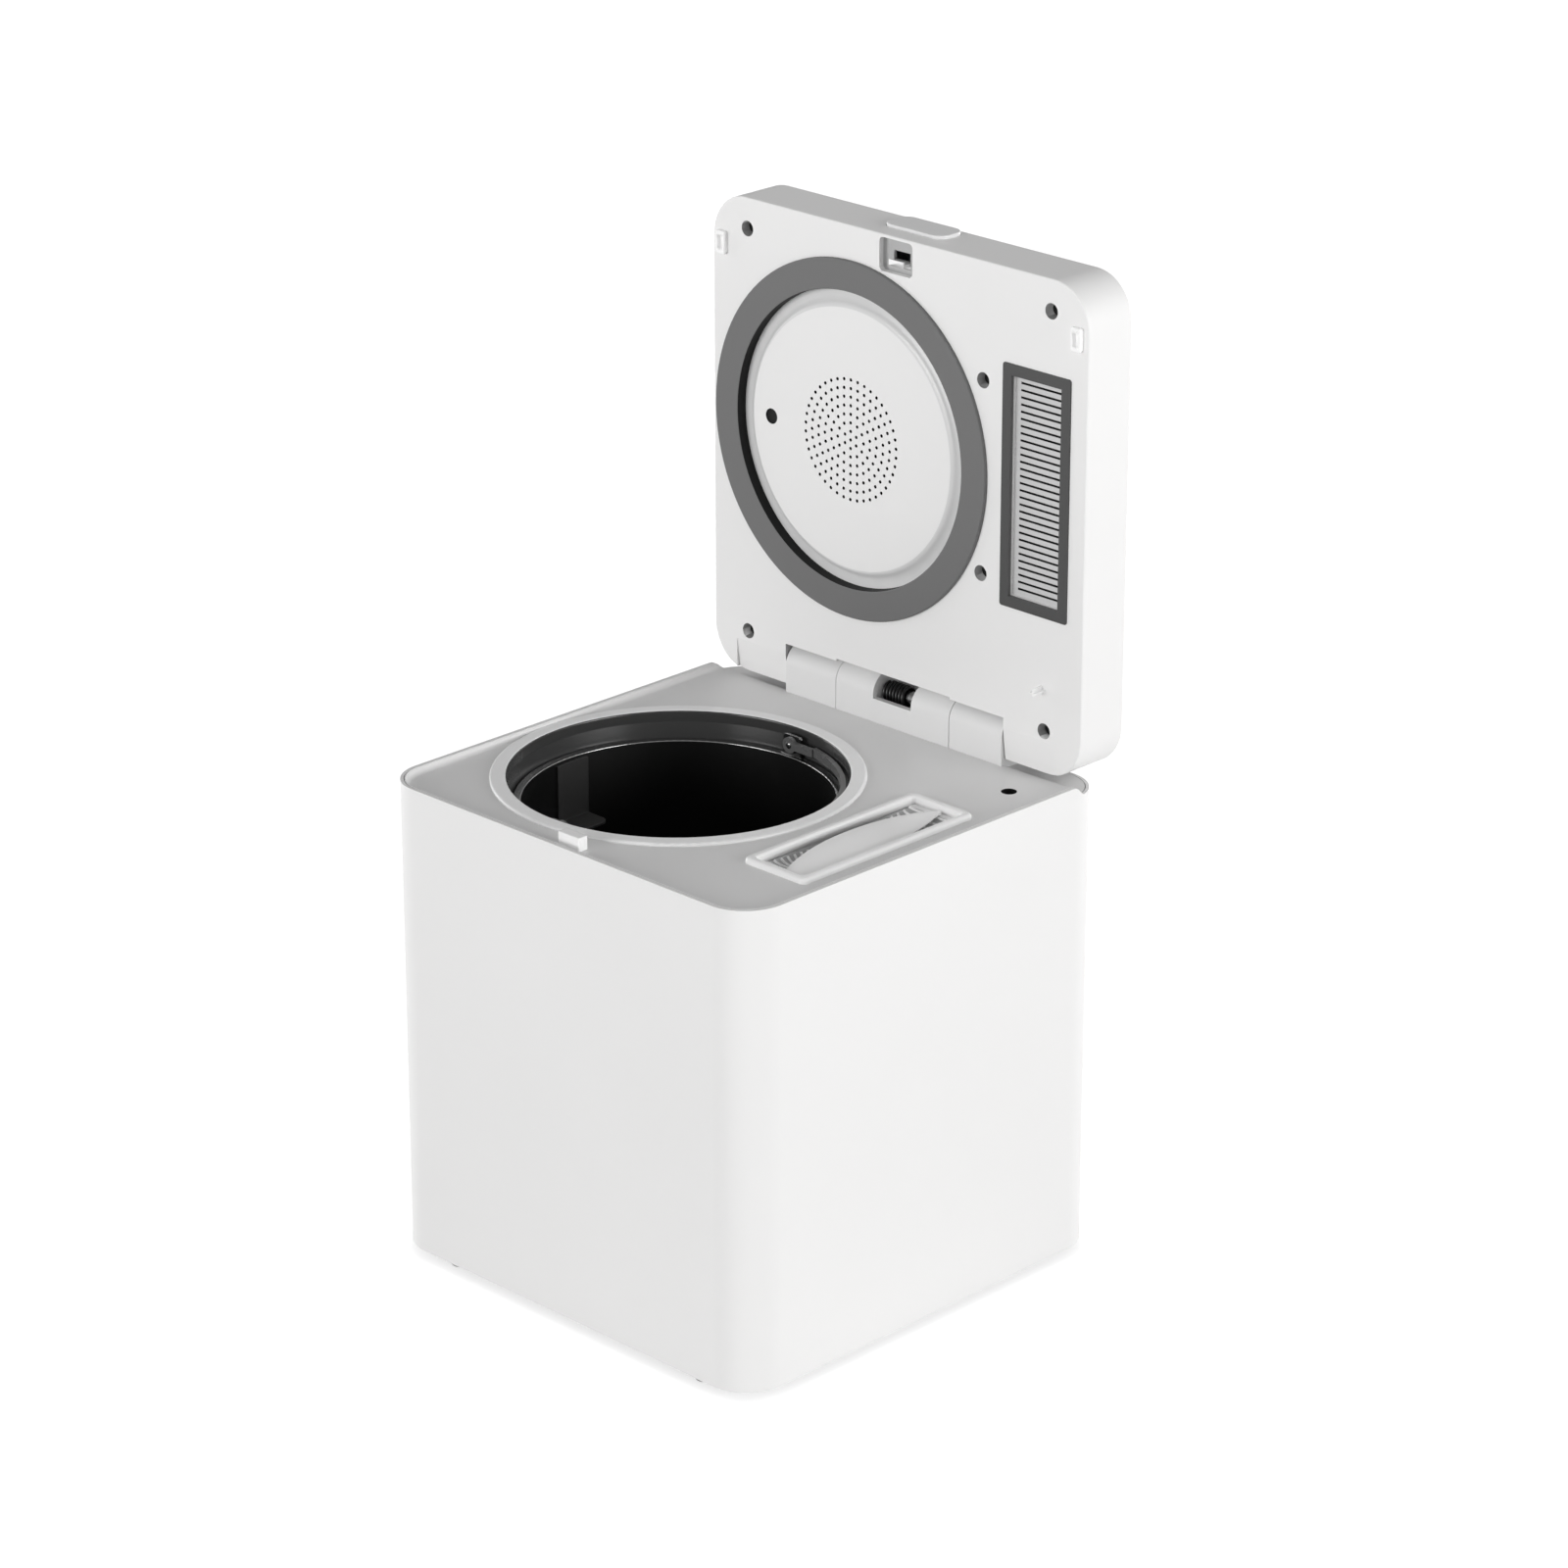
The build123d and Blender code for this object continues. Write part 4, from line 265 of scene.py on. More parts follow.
def moulded(name, color, roughness, cloud=0.03, spread=0.06, grain=0.5, bump=0.012, specular=0.5, coat=0.0):
    material, tree, shader = blank_material(name)
    wire_group(tree, shader, moulded_group,
               {"Color": color, "Cloud": cloud, "Roughness": roughness, "Roughness spread": spread,
                "Grain size mm": grain}, bump)
    shader.inputs["Specular IOR Level"].default_value = specular
    shader.inputs["Coat Weight"].default_value = coat
    shader.inputs["Coat Roughness"].default_value = 0.2
    return material


def metal(name, color, roughness, marks=(60.0, 60.0, 1500.0), contrast=0.2, bump=0.004):
    material, tree, shader = blank_material(name)
    wire_group(tree, shader, metal_group,
               {"Color": color, "Roughness": roughness, "Mark contrast": contrast,
                "Scale X": marks[0], "Scale Y": marks[1], "Scale Z": marks[2]}, bump)
    shader.inputs["Metallic"].default_value = 1.0
    return material


# %% [markdown]
# The white parts are not all one white: the casing and the lid are a bright satin white, the deck and the
# tower are a slightly greyer white, and the seals are grey silicone.  The first group
# of rows is moulded, the second is worked metal, and every key is the name of a material slot in the frame.

# %% the finishes by slot
finishes = {
    "white_plastic": moulded("casing white", grey(0.84, 0.004), 0.42, grain=0.45),
    "deck_plastic": moulded("deck white", grey(0.78, 0.002), 0.36, spread=0.02, grain=0.45, bump=0.004,
                            specular=0.7),
    "lid_plastic": moulded("lid white", grey(0.84, 0.004), 0.42, grain=0.45),
    "port_white": moulded("port white", grey(0.96, 0.002), 0.25, grain=0.4, bump=0.006, coat=0.4),
    "button_plastic": moulded("button white", grey(0.8), 0.4, grain=0.4, bump=0.008),
    "gasket_grey": moulded("grey silicone", grey(0.15), 0.55, cloud=0.05, grain=0.9, bump=0.02,
                           specular=0.4),
    "gasket_dark": moulded("dark silicone", grey(0.06), 0.55, cloud=0.05, grain=0.9, bump=0.02,
                           specular=0.4),
    "seal_rubber": moulded("black rubber", grey(0.02), 0.6, grain=0.8, bump=0.02),
    "foot_rubber": moulded("foot rubber", grey(0.03), 0.7, grain=1.0, bump=0.03),
    "dark_plastic": moulded("near-black plastic", grey(0.02), 0.38, grain=0.5, bump=0.01),
    "panel_black": moulded("touch panel", grey(0.008), 0.08, cloud=0.1, spread=0.03, grain=3.0,
                           bump=0.001, coat=0.6),
    "board_green": moulded("circuit board", (0.02, 0.11, 0.05, 1), 0.35, cloud=0.2, grain=1.2,
                           bump=0.02, coat=0.4),
    "bucket_black": moulded("bucket coating", grey(0.005), 0.4, cloud=0.2, spread=0.12, grain=1.4,
                            bump=0.02),
    "handle_black": moulded("handle coating", grey(0.13), 0.28, cloud=0.2, grain=1.0, bump=0.01),
    "insulation": moulded("fibre mat", grey(0.6, 0.05), 0.9, cloud=0.3, grain=2.5, bump=0.6,
                          specular=0.2),
    "gear_plastic": moulded("acetal", grey(0.72, 0.03), 0.4, grain=0.6, bump=0.01),
    "carbon_black": moulded("carbon granules", grey(0.012), 0.75, cloud=0.5, grain=2.2, bump=0.7),
    "pot_aluminium": metal("pressed aluminium", grey(0.75), 0.35, marks=(200, 200, 900)),
    "band_steel": metal("plain sheet steel", grey(0.55), 0.38, marks=(40, 40, 900)),
    "arm_steel": metal("brushed stainless", grey(0.6), 0.27, marks=(900, 900, 60)),
    "shaft_steel": metal("ground steel", grey(0.5), 0.25, marks=(1500, 60, 60)),
    "dark_steel": metal("blackened wire", grey(0.05), 0.35, marks=(400, 400, 400)),
    "screw_steel": metal("zinc plate", grey(0.5), 0.34, marks=(300, 300, 300)),
    "brass_bush": metal("turned brass", (0.66, 0.46, 0.18, 1), 0.3, marks=(300, 300, 1200)),
}
print("finishes:", len(finishes))

# %% [markdown]
# Some parts carry a second finish on a few of their faces.  Most of them are painted shade: a bore that never
# sees the light, a recess, the shade behind a slot.  One is a painted highlight, and one is a polished rim.
# These are not imported parts of their own, so they are kept apart from the slots.

# %% second finishes
def shade(name, value, roughness, **values):
    """A moulded finish in plain neutral grey, from black at 0 to white at 1."""
    return moulded(name, grey(value), roughness, **values)


# painted shade: bores, recesses and seal walls that get no light are painted dark
painted_bore_shade = shade("bore in shade", 0.006, 0.6, grain=0.8, bump=0.01, specular=0.2)
painted_recess_shade = shade("recess in shade", 0.55, 0.5, grain=0.6, bump=0.01, specular=0.3)
gasket_shade = shade("gasket in shade", 0.12, 0.5, grain=0.6, bump=0.01, specular=0.3)
throat_dark = shade("throat liner", 0.05, 0.24, grain=0.6, bump=0.004)
baffle_grey = shade("baffle coating", 0.045, 0.3, grain=1.0, bump=0.008)
# painted shade: the latch cup and the lid's recess for the hinge tower are painted grey
painted_cup_shade = shade("painted cup shade", 0.45, 0.4, grain=0.45)
louvre_white = shade("louvre white", 0.6, 0.45, grain=0.4, bump=0.008)
# painted shade on the vent plate's slope
painted_slope_shade = shade("painted slope shade", 0.72, 0.3, grain=0.45, bump=0.004)
# painted highlight on the deck's raised collar
painted_collar_highlight = shade("painted collar highlight", 0.93, 0.3, grain=0.45, bump=0.004)
box_grey = shade("filter box grey", 0.5, 0.4, grain=0.5, bump=0.006)
# painted shade: a dark sheet behind the vents
painted_shade_sheet = shade("painted shade sheet", 0.03, 0.9, cloud=0.5, grain=1.4, bump=0.3, specular=0.1)
rim_polish = metal("polished rim", grey(0.5), 0.2, marks=(60, 60, 60), contrast=0.1)
print("second finishes: 12, the last one polished metal")

# %% [markdown]
# ## Softening the solids
#
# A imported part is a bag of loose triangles, so it shades flat.  Each visible part is copied and its doubled
# corners are merged.  Edges sharper than a limit stay sharp and everything else shades round, with normals
# weighted by face size so that a large flat wall stays flat beside a small round edge.  Parts of few plain
# faces also get a narrow bevel, because a real moulded edge catches a thin line of light.

# %% a clean copy of a part
WELD_MM = 0.002             # corners closer than this are one corner
FLAT_DEGREES = 0.6          # faces that turn less than this are one face


def merged_copy(node, dissolve):
    """A copy of a part's mesh with doubled corners merged, and fans of flat triangles made whole faces."""
    mesh = nodes[node].data.copy()
    mesh.name = "soft_" + node
    shape = bmesh.new()
    shape.from_mesh(mesh)
    bmesh.ops.remove_doubles(shape, verts=shape.verts, dist=WELD_MM * MM)
    if dissolve:
        bmesh.ops.dissolve_limit(shape, angle_limit=math.radians(FLAT_DEGREES), verts=shape.verts,
                                 edges=shape.edges)
    shape.to_mesh(mesh)
    shape.free()
    return mesh


# %% [markdown]
# A copy takes the part's place: it moves with the same body and keeps the same material slot, and the part
# itself is hidden.

# %% standing in for a part
record = frame["record"]
slot_of = {row["node"]: row["material_slot"] for row in record["subparts"]}
body_of = {name: body for body, names in record["behaviour"]["bodies"].items() for name in names}


def stand_in(name, mesh, node, finish=None):
    """Shows a mesh in place of a part, on the part's own body and in the part's own finish."""
    piece = bpy.data.objects.new(name, mesh)
    bpy.context.scene.collection.objects.link(piece)
    mesh.materials.clear()
    mesh.materials.append(finish or finishes[slot_of[node]])
    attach(piece, body_of[node])
    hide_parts(node)
    return piece


# %% [markdown]
# Some parts have wide flat faces beside curved ones.  Their flat triangles are joined into whole faces too,
# since long thin triangles would pull the shading of a flat face towards its round edges.

# %% softening a part
FLAT_FACED = ("lid_body", "top_deck", "lid_cover", "hinge_cover")
SHARP_DEGREES = 28          # edges that turn more than this stay sharp
FLAT_WEIGHT = 80            # how much a face's size counts in the direction of its corners


def soften(node, bevel_mm=0.0, finish=None):
    """Stands a smooth-shaded copy in for a part, bevelled where bevel_mm is given."""
    mesh = merged_copy(node, dissolve=bevel_mm > 0 or node in FLAT_FACED)
    mesh.shade_smooth()
    mesh.set_sharp_from_angle(angle=math.radians(SHARP_DEGREES))
    piece = stand_in("soft_" + node, mesh, node, finish)
    if bevel_mm:
        bevel = piece.modifiers.new("bevel", "BEVEL")
        bevel.width = bevel_mm * MM
        bevel.segments = 2
        bevel.limit_method = "ANGLE"
        bevel.angle_limit = math.radians(SHARP_DEGREES)
        bevel.harden_normals = True
    weighted = piece.modifiers.new("weighted normals", "WEIGHTED_NORMAL")
    weighted.keep_sharp = True
    weighted.weight = FLAT_WEIGHT
    return piece


# %% [markdown]
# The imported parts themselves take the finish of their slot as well.

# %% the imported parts' own finish
for name, node in nodes.items():
    node.data.materials.clear()
    node.data.materials.append(finishes[slot_of[name]])
print("slots in use:", len(set(slot_of.values())))

# %% [markdown]
# ## Floor and light
#
# A white tent surrounds the machine: most light comes level from the front right, and little from above, so
# the deck and the lid's top edge stay greyer than the walls.  The paper floor is lit like any surface; what
# it lacks to white is added as a glow that only the camera, mirrors and glass see, so the soft shadow stays.

# %% floor
WHITE_GAP = 0.66            # glow that brings the lit paper up to white


def glow_for_viewers(tree, level):
    """level where the ray comes from the camera, a mirror or glass, and zero for the light itself."""
    path = add(tree, "ShaderNodeLightPath")
    mirror = math_node(tree, "MAXIMUM", path.outputs["Is Glossy Ray"], path.outputs["Is Transmission Ray"])
    viewer = math_node(tree, "MAXIMUM", path.outputs["Is Camera Ray"], mirror)
    return math_node(tree, "MULTIPLY", viewer, level)


def make_floor(size=6.0):
    corners = [(-size, -size, 0), (size, -size, 0), (size, size, 0), (-size, size, 0)]
    mesh = bpy.data.meshes.new("floor")
    mesh.from_pydata(corners, [], [(0, 1, 2, 3)])
    floor = bpy.data.objects.new("floor", mesh)
    bpy.context.scene.collection.objects.link(floor)
    material, tree, shader = blank_material("floor paper")
    shader.inputs["Base Color"].default_value = (0.86, 0.86, 0.86, 1)
    shader.inputs["Roughness"].default_value = 0.9
    shader.inputs["Specular IOR Level"].default_value = 0.0
    shader.inputs["Emission Color"].default_value = (1, 1, 1, 1)
    join(tree, glow_for_viewers(tree, WHITE_GAP), shader.inputs["Emission Strength"])
    mesh.materials.append(material)


make_floor()

# %% [markdown]
# The tent itself is one even light, seen as white by the camera.  Four far lamps stand low around the
# machine: two keys that share the near right corner between them, and two weaker fills for the other sides.

# %% light
SKY = 0.32                  # level of the tent as a light source
SUNS = {                    # name: direction towards the lamp, strength, apparent size in degrees
    "right key": ((0.96, 0.16, 0.1), 2.3, 34),
    "front key": ((-0.16, -0.96, 0.1), 1.86, 34),
    "left fill": ((-0.99, -0.1, 0.06), 1.3, 40),
    "rear fill": ((0.3, 0.95, 0.06), 1.1, 40),
}


def make_world():
    world = bpy.data.worlds.new("tent")
    bpy.context.scene.world = world
    world.use_nodes = True
    tree = world.node_tree
    tree.nodes.clear()
    path = add(tree, "ShaderNodeLightPath")
    seen = math_node(tree, "MAXIMUM", path.outputs["Is Camera Ray"], path.outputs["Is Transmission Ray"])
    backdrop = math_node(tree, "MULTIPLY", seen, 1.0 - SKY)
    glow = add(tree, "ShaderNodeBackground")
    glow.inputs["Color"].default_value = (1, 1, 1, 1)
    join(tree, math_node(tree, "ADD", backdrop, SKY), glow.inputs["Strength"])
    out = add(tree, "ShaderNodeOutputWorld")
    join(tree, glow.outputs["Background"], out.inputs["Surface"])


def make_sun(name, toward, strength, spread):
    """A far lamp.  toward points from the object to the lamp; spread is its apparent size in degrees."""
    lamp = bpy.data.lights.new(name, "SUN")
    lamp.energy = strength
    lamp.angle = math.radians(spread)
    holder = bpy.data.objects.new(name, lamp)
    bpy.context.scene.collection.objects.link(holder)
    holder.rotation_euler = Vector(toward).to_track_quat("Z", "Y").to_euler()


make_world()
for name, (toward, strength, spread) in SUNS.items():
    make_sun(name, toward, strength, spread)
bpy.context.scene.view_settings.view_transform = "Standard"
print("lamps:", ", ".join(SUNS))

# %% [markdown]
# ## The visible parts, softened
#
# The casing, the catch, the posts and the covers are plain boxes with few faces, so they can take a bevel.
# The rest have their own round edges from the solid, and only need to shade round.  The filter's pull gets a
# shape of its own further down, so it isn't copied here.

# %% soften
BEVELS = {"outer_shell": 0.4, "latch_catch": 0.3, "hinge_cover": 0.3, "hinge_posts": 0.3,
          "power_inlet": 0.3, "filter_box": 0.3, "wall_baffle": 0.2}
# the latch plate's grey here is a painted shade of its cup
OWN_FINISH = {"throat_ring": throat_dark, "wall_baffle": baffle_grey, "latch_plate": painted_cup_shade,
              "louvre_grille": louvre_white, "filter_box": box_grey}
OWN_SHAPE = ("filter_pull",)
soft = {name: soften(name, BEVELS.get(name, 0.0), OWN_FINISH.get(name))
        for name in nodes if name not in OWN_SHAPE}
print("softened:", len(soft))

# %% [markdown]
# ## A second finish on some faces
#
# A mould leaves one colour, but light does not reach into a deep bore, so bores, recesses and the walls of
# slots are painted dark as painted shade, and a turned rim is polished after it is coated.  `repaint` looks
# at every face's centre and direction at once and gives the chosen ones a second material, so that the part
# stays one mesh.

# %% repaint
def repaint(piece, finish, chosen):
    """Gives the faces where chosen(centres in mm, normals) holds a second finish."""
    mesh = piece.data
    count = len(mesh.polygons)
    centres, normals = np.empty(3 * count), np.empty(3 * count)
    mesh.polygons.foreach_get("center", centres)
    mesh.polygons.foreach_get("normal", normals)
    picked = chosen(centres.reshape(-1, 3) / MM, normals.reshape(-1, 3))
    slots = np.empty(count, dtype=np.int32)
    mesh.polygons.foreach_get("material_index", slots)
    mesh.materials.append(finish)
    slots[picked] = len(mesh.materials) - 1
    mesh.polygons.foreach_set("material_index", slots)
    print(piece.name, "faces repainted:", int(picked.sum()), "of", count)


def away(centres, axis, plane=(0, 1)):
    """Distance in mm of each face from an axis.  plane names the two coordinates that the axis fixes."""
    return np.hypot(centres[:, plane[0]] - axis[0], centres[:, plane[1]] - axis[1])


# %% [markdown]
# On the deck, the raised collar is painted a brighter white as a painted highlight, and its inner side is
# part of the dark throat.  The hole for the lid's switch and the switch's pieces in it are painted black down
# to the plunger, as painted shade.  The bucket's rolled rim is bare metal on top.

# %% the deck's bores and the bucket's rim
COLLAR_OUTER, COLLAR_CREST = 110.6, 103.2   # radii about the bucket's axis
RIM_INNER, RIM_LOW = 92.3, 284.9            # the rolled rim lies outside this radius, above this height
SWITCH_RADIUS = 5.0
SWITCH_LOW, PLUNGER_LOW = 288.0, 290.0      # heights above which the switch's pieces stay in the hole's shade
ABOVE_DECK = 0.1                            # tells the collar's faces from the deck's own
SIDEWAYS, STEEP, SLANTED = 0.5, 0.75, 0.3   # how far up a face looks, from 0 for a wall to 1 for a floor

repaint(soft["top_deck"], painted_collar_highlight,
        lambda c, n: (away(c, BUCKET_AXIS) < COLLAR_OUTER) & (c[:, 2] > DECK + ABOVE_DECK))
repaint(soft["top_deck"], throat_dark,
        lambda c, n: (away(c, BUCKET_AXIS) < COLLAR_CREST) & (n[:, 2] < STEEP))
repaint(soft["top_deck"], painted_bore_shade,
        lambda c, n: (away(c, SWITCH) < SWITCH_RADIUS) & (abs(n[:, 2]) < SIDEWAYS))
repaint(soft["lid_switch"], painted_bore_shade, lambda c, n: c[:, 2] > SWITCH_LOW)
repaint(soft["switch_plunger"], painted_bore_shade, lambda c, n: c[:, 2] > PLUNGER_LOW)
repaint(soft["bucket"], rim_polish,
        lambda c, n: (c[:, 2] > RIM_LOW) & (away(c, BUCKET_AXIS) > RIM_INNER) & (n[:, 2] > SLANTED))

# %% [markdown]
# The open lid stands upright, so its holes run along Y, and a face that looks along X or Z is a wall of a
# hole.  The ring gasket's inner wall, the small vent holes, the vent screw's recess and the louvre's slots
# never see the light, so they are painted near black as painted shade; the port gasket's inner walls get a
# painted shade too.  The vent plate's slope is painted greyer than its flat, as painted shade.

# %% the lid's seals and vents
ACROSS_UP = (0, 2)
GASKET_INNER, VENT_FLAT, SLOPE_START = 93.5, 80.0, 80.6     # radii about the gasket's axis
VENT_SCREW_RADIUS = 5.0
LOUVRE_HALF, PORT_HALF = 16.2, 20.5                         # half widths of the two openings
BEHIND_FACE = 1.0                                           # deeper in the lid than its inner face
ROUNDED = 0.7                                               # takes in the rounded edge of a soft seal
FORWARD = -0.1                                              # looks away from the lid, not into it


def is_wall(normals, limit=SIDEWAYS):
    """True for faces that look sideways, as the wall of a hole along Y does."""
    return abs(normals[:, 1]) < limit


repaint(soft["ring_gasket"], painted_bore_shade,
        lambda c, n: (away(c, GASKET, ACROSS_UP) < GASKET_INNER) & is_wall(n, ROUNDED))
repaint(soft["vent_plate"], painted_bore_shade,
        lambda c, n: (away(c, GASKET, ACROSS_UP) < VENT_FLAT) & is_wall(n))
repaint(soft["vent_plate"], painted_bore_shade,
        lambda c, n: ((away(c, VENT_SCREW, ACROSS_UP) < VENT_SCREW_RADIUS)
                      & (c[:, 1] > LID_FACE_Y + BEHIND_FACE)))
repaint(soft["vent_plate"], painted_slope_shade,
        lambda c, n: (away(c, GASKET, ACROSS_UP) > SLOPE_START) & (n[:, 1] < FORWARD))
repaint(soft["louvre_grille"], painted_bore_shade,
        lambda c, n: is_wall(n) & (abs(c[:, 0] - LOUVRE[0]) < LOUVRE_HALF))
repaint(soft["port_gasket"], gasket_shade,
        lambda c, n: is_wall(n, ROUNDED) & (abs(c[:, 0] - PORT_GASKET_X) < PORT_HALF))

# %% [markdown]
# The recess for the hinge tower is cut through the lid's tail.  The six screws sit deep in round recesses.
# Both are painted greyer than the face around them, as painted shade, and the screws' heads are painted black
# as painted shade.

# %% the lid's recesses
TOWER_HALF, TOWER_TOP = 89.6, 331.0         # half width and top of the recess for the hinge tower
TOWER_DEPTH, SCREW_DEPTH = 0.5, 0.2         # depths under the inner face where each recess begins
RECESS_RADIUS, HEAD_RADIUS = 5.2, 4.6
SCREWS = [(-121.3, LID_MIDDLE + 131), (121.3, LID_MIDDLE + 131), (-121.3, LID_MIDDLE - 123.2),
          (121.3, LID_MIDDLE - 123.2), (69.8, LID_MIDDLE + 78.95), (69.8, LID_MIDDLE - 38.45)]


def from_screw(centres):
    """Distance in mm of each face from the nearest screw's axis."""
    return np.min([away(centres, screw, ACROSS_UP) for screw in SCREWS], axis=0)


repaint(soft["lid_body"], painted_cup_shade,
        lambda c, n: ((c[:, 1] > LID_FACE_Y + TOWER_DEPTH) & (c[:, 2] < TOWER_TOP)
                      & (abs(c[:, 0]) < TOWER_HALF) & (n[:, 2] < SIDEWAYS)))
repaint(soft["lid_body"], painted_recess_shade,
        lambda c, n: (from_screw(c) < RECESS_RADIUS) & (c[:, 1] > LID_FACE_Y + SCREW_DEPTH))
repaint(soft["lid_screws"], painted_bore_shade, lambda c, n: from_screw(c) < HEAD_RADIUS)

# %% [markdown]
# The tail of the lid's inner face is cut back in a shallow bevel.  Its two flats meet at only seven degrees,
# too little for the angle limit, so the meeting line is marked sharp by its place.

# %% keep the tail bevel's line
def mark_line(piece, level, depth, tolerance=0.05):
    """Marks sharp each edge with both ends at the given height and depth in mm."""
    mesh = piece.data
    spots = np.empty(3 * len(mesh.vertices))
    mesh.vertices.foreach_get("co", spots)
    spots = spots.reshape(-1, 3) / MM
    ends = np.empty(2 * len(mesh.edges), dtype=np.int32)
    mesh.edges.foreach_get("vertices", ends)
    on_line = (abs(spots[:, 2] - level) < tolerance) & (abs(spots[:, 1] - depth) < tolerance)
    picked = on_line[ends.reshape(-1, 2)].all(axis=1)
    sharp = mesh.attributes.get("sharp_edge") or mesh.attributes.new("sharp_edge", "BOOLEAN", "EDGE")
    values = np.empty(len(mesh.edges), dtype=bool)
    sharp.data.foreach_get("value", values)
    sharp.data.foreach_set("value", values | picked)
    print(piece.name, "edges marked:", int(picked.sum()))


TAIL_LINE = 324.0           # height at which the bevel begins
mark_line(soft["lid_body"], TAIL_LINE, LID_FACE_Y)

# %% [markdown]
# ## Thin shapes as closed sheets
#
# A sheet is made from two grids of points, its upper and its lower side, with a strip round the edge that
# closes it.  A grid is a whole array: rows run across, columns run along, and a formula gives the height.

# %% closed sheet
CREASE_DEGREES = 50         # edges of a thin shape that turn more than this stay sharp


def grid(across, along):
    """Two arrays that hold each grid point's place from -1 to 1 across and along."""
    return np.meshgrid(np.linspace(-1, 1, across), np.linspace(-1, 1, along), indexing="ij")


def closed_mesh(name, points, faces):
    """A mesh from points in mm and lists of their numbers, with its faces turned outward and shaded round."""
    mesh = bpy.data.meshes.new(name)
    mesh.from_pydata((points * MM).tolist(), [], faces)
    shape = bmesh.new()
    shape.from_mesh(mesh)
    bmesh.ops.recalc_face_normals(shape, faces=shape.faces)
    shape.to_mesh(mesh)
    shape.free()
    mesh.shade_smooth()
    mesh.set_sharp_from_angle(angle=math.radians(CREASE_DEGREES))
    return mesh


def sheet(name, upper, lower):
    """A closed mesh from two (rows, columns, 3) grids in mm: the sides plus a strip round the rim."""
    rows, columns = upper.shape[:2]
    index = np.arange(rows * columns).reshape(rows, columns)
    quads = np.stack([index[:-1, :-1], index[1:, :-1], index[1:, 1:], index[:-1, 1:]], -1).reshape(-1, 4)
    rim = np.concatenate([index[:-1, 0], index[-1, :-1], index[:0:-1, -1], index[0, :0:-1]])
    after = np.roll(rim, -1)
    strip = np.stack([rim + rows * columns, after + rows * columns, after, rim], -1)
    faces = np.concatenate([quads, quads[:, ::-1] + rows * columns, strip])
    points = np.concatenate([upper.reshape(-1, 3), lower.reshape(-1, 3)])
    return closed_mesh(name, points, faces.tolist())


def new_piece(name, mesh, body, finish):
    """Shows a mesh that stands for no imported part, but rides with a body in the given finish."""
    piece = bpy.data.objects.new(name, mesh)
    bpy.context.scene.collection.objects.link(piece)
    mesh.materials.append(finish)
    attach(piece, body)
    print(name, "rides", body)


# %% [markdown]
# The filter cartridge's top is a shallow trough with fins across it.  The trough is one arc of a large circle
# along the cartridge, and near its long sides it curls up to the rim.  Each fin is a ridge with a rounded
# top that follows the trough from side to side.

# %% trough and fins
TROUGH_RADIUS, TROUGH_TOP, TROUGH_DEPTH = 214.0, 298.6, 9.0
TROUGH_RIM = TROUGH_TOP - 0.2
TROUGH_HALF_LENGTH, TROUGH_HALF_WIDTH = 60.0, 16.6
CURL = 6                                    # the higher, the later the sides begin to curl up
TROUGH_UNDER, TROUGH_OVER = 0.05, 0.45      # heights of the sheet's lower and upper side over its formula
FIN_ROOT = 0.25                             # the fins start inside the sheet


def trough_level(along):
    """Height of the trough: z = top - depth + R - sqrt(R^2 - y^2)."""
    return TROUGH_TOP - TROUGH_DEPTH + TROUGH_RADIUS - np.sqrt(TROUGH_RADIUS ** 2 - along ** 2)


def bowl_level(across, along):
    """The trough with its long sides curling up: z = t + (rim - t) u^6, where t is the trough's height."""
    floor_level = trough_level(along)
    return floor_level + (TROUGH_RIM - floor_level) * across ** CURL


def make_trough():
    across, along = grid(25, 61)
    x, y = PORT_X + across * TROUGH_HALF_WIDTH, along * TROUGH_HALF_LENGTH
    level = bowl_level(across, y)
    upper = np.stack([x, PORT_Y + y, level + TROUGH_OVER], -1)
    lower = np.stack([x, PORT_Y + y, level + TROUGH_UNDER], -1)
    return sheet("trough", upper, lower)


def make_fins(count=23, pitch=5.3, half_thickness=0.9, rise=1.1, foot=0.2, reach=0.97, section=7, steps=19):
    """Ridges across the bowl: an offset a cos t along y and h sin t along the bowl's own normal."""
    place = ((np.arange(count) - (count - 1) / 2) * pitch)[:, None, None]
    across = np.linspace(-reach, reach, steps)[None, :, None]
    turn = np.linspace(0, math.pi, section)[None, None, :]
    slope = (TROUGH_RIM - trough_level(place)) * CURL * across ** (CURL - 1) / TROUGH_HALF_WIDTH
    length = np.sqrt(1 + slope ** 2)
    lift = rise * np.sin(turn) + foot
    x = PORT_X + across * TROUGH_HALF_WIDTH - lift * slope / length
    y = PORT_Y + place + half_thickness * np.cos(turn) + 0 * across
    z = bowl_level(across, place) + FIN_ROOT + lift / length
    points = np.stack([x, y, z], -1).reshape(-1, 3)
    index = np.arange(count * steps * section).reshape(count, steps, section)
    after = np.roll(index, -1, axis=2)
    sides = np.stack([index[:, :-1], after[:, :-1], after[:, 1:], index[:, 1:]], -1).reshape(-1, 4)
    ends = index[:, 0, ::-1].tolist() + index[:, -1].tolist()
    return closed_mesh("trough_fins", points, sides.tolist() + ends)


cartridge_body = body_of["filter_cartridge"]
new_piece("trough", make_trough(), cartridge_body, box_grey)
new_piece("trough_fins", make_fins(), cartridge_body, finishes["port_white"])

# %% [markdown]
# A leaf-shaped pull bridges the trough.  Its left edge is bowed from end to end, and its right edge runs
# straight before it tapers.  It is thickest along its middle and thins to both long edges, as a moulded grip
# does.  Its ends reach down to the trough's rim.

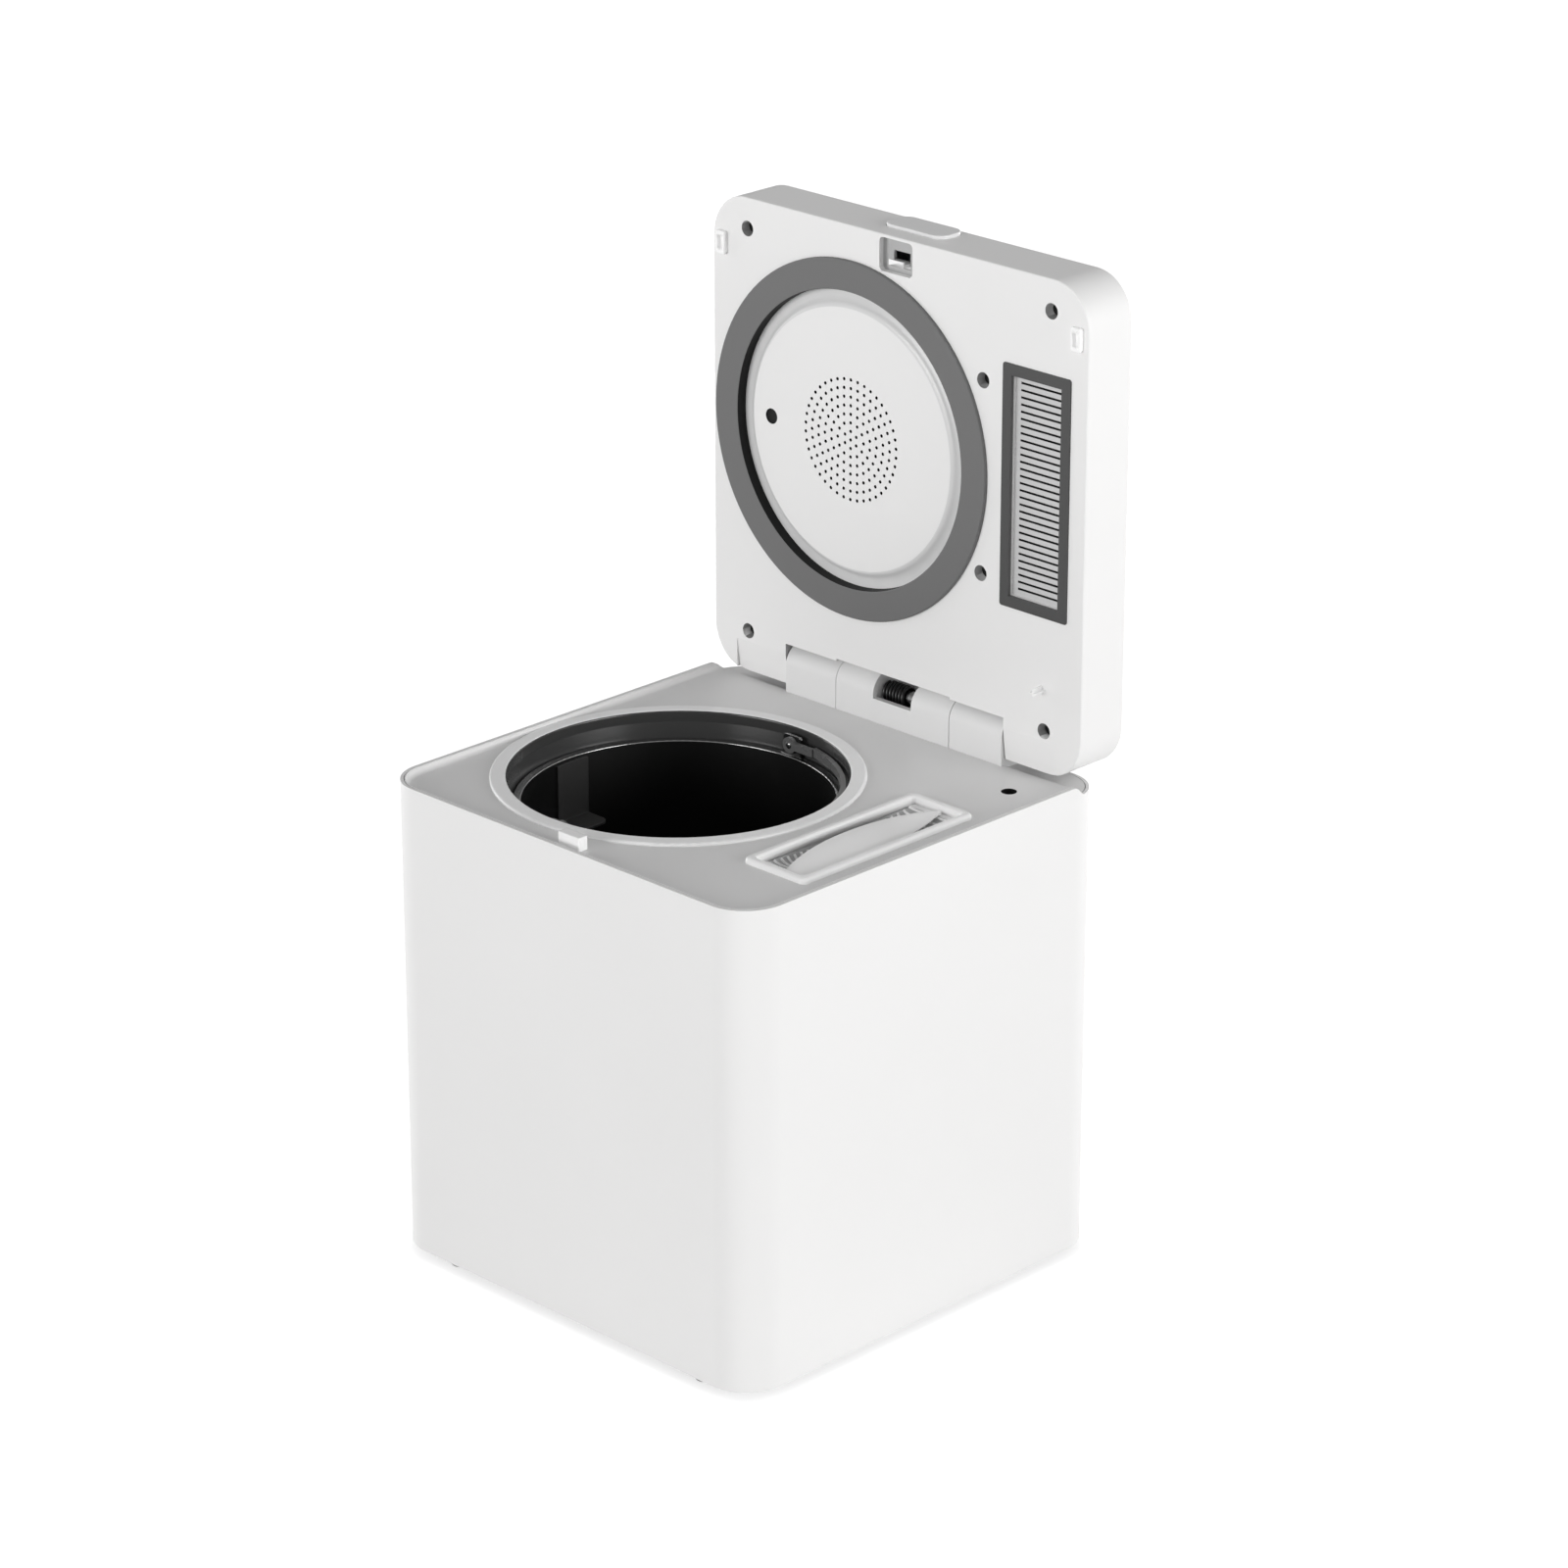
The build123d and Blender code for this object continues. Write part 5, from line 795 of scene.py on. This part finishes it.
# %% pull
PULL_HALF_LENGTH, PULL_TIP_X, PULL_SWEEP, PULL_RIGHT_X = 63.6, 112.5, 13.5, 126.0
PULL_LOW, PULL_EDGE, PULL_CROWN, PULL_TILT = 299.6, 0.5, 0.9, 2.4
PULL_TIP_HALF, PULL_TAPER, PULL_END_DROP = 0.4, 1.8, 0.6
PULL_FOOT_START = 0.965                     # the feet begin at this share of the half length


def make_pull():
    """A leaf between a bowed left edge x = a - b (1 - v^2) and a right edge that runs straight for half its
    length and then tapers, x = c - (c - a) v^1.8.  Its height over the edge is
    (h (1 - u^2) + k (1 - u) / 2) (1 - 0.6 v^4)."""
    across, along = grid(17, 65)
    left_edge = PULL_TIP_X - PULL_SWEEP * (1 - along ** 2) - PULL_TIP_HALF
    right_edge = (PULL_RIGHT_X - (PULL_RIGHT_X - PULL_TIP_X) * along.clip(0, 1) ** PULL_TAPER
                  + PULL_TIP_HALF)
    x = left_edge + (right_edge - left_edge) * (across + 1) / 2
    y = PORT_Y + along * PULL_HALF_LENGTH
    crown = (PULL_CROWN * (1 - across ** 2) + PULL_TILT * (1 - across) / 2) * (1 - PULL_END_DROP * along ** 4)
    foot = np.where(abs(along) > PULL_FOOT_START, PULL_LOW - TROUGH_TOP, 0.0)
    upper = np.stack([x, y, PULL_LOW + PULL_EDGE + crown], -1)
    lower = np.stack([x, y, PULL_LOW - foot], -1)
    return sheet("pull_leaf", upper, lower)


stand_in("pull_leaf", make_pull(), "filter_pull")
print("pull_leaf rides", body_of["filter_pull"])

# %% [markdown]
# Behind the lid's round vent and behind the louvre lies a dark sheet of painted shade, so their openings look
# black.  It bulges a little towards its middle.  The round one maps a square grid to a disc with
# x' = x sqrt(1 - y^2 / 2), which leaves no point where many faces meet.

# %% shade sheets behind the vents
SHEET_BULGE, SHEET_THICKNESS = 0.3, 0.6
ROUND_SHEET_HALF, ROUND_SHEET_FRONT = (76.0, 76.0), 127.9
LOUVRE_SHEET_HALF, LOUVRE_SHEET_FRONT = (16.4, 64.0), 130.7


def make_shade_sheet(name, centre, half, front, disc):
    """A dark sheet of painted shade round a centre (across, up) with its half width and half height, and its
    front at a depth.
    """
    across, along = grid(25, 25)
    u, v = across, along
    if disc:
        u, v = across * np.sqrt(1 - along ** 2 / 2), along * np.sqrt(1 - across ** 2 / 2)
    bulge = SHEET_BULGE * (1 - across ** 2) * (1 - along ** 2)
    x, z = centre[0] + u * half[0], centre[1] + v * half[1]
    upper = np.stack([x, front - bulge, z], -1)
    lower = np.stack([x, front + SHEET_THICKNESS + 0 * x, z], -1)
    return sheet(name, upper, lower)


lid_riding = body_of["vent_plate"]
round_shade_sheet = make_shade_sheet("vent_shade_sheet", GASKET, ROUND_SHEET_HALF, ROUND_SHEET_FRONT, disc=True)
louvre_shade_sheet = make_shade_sheet("louvre_shade_sheet", LOUVRE, LOUVRE_SHEET_HALF, LOUVRE_SHEET_FRONT, disc=False)
new_piece("vent_shade_sheet", round_shade_sheet, lid_riding, painted_shade_sheet)
new_piece("louvre_shade_sheet", louvre_shade_sheet, lid_riding, painted_shade_sheet)
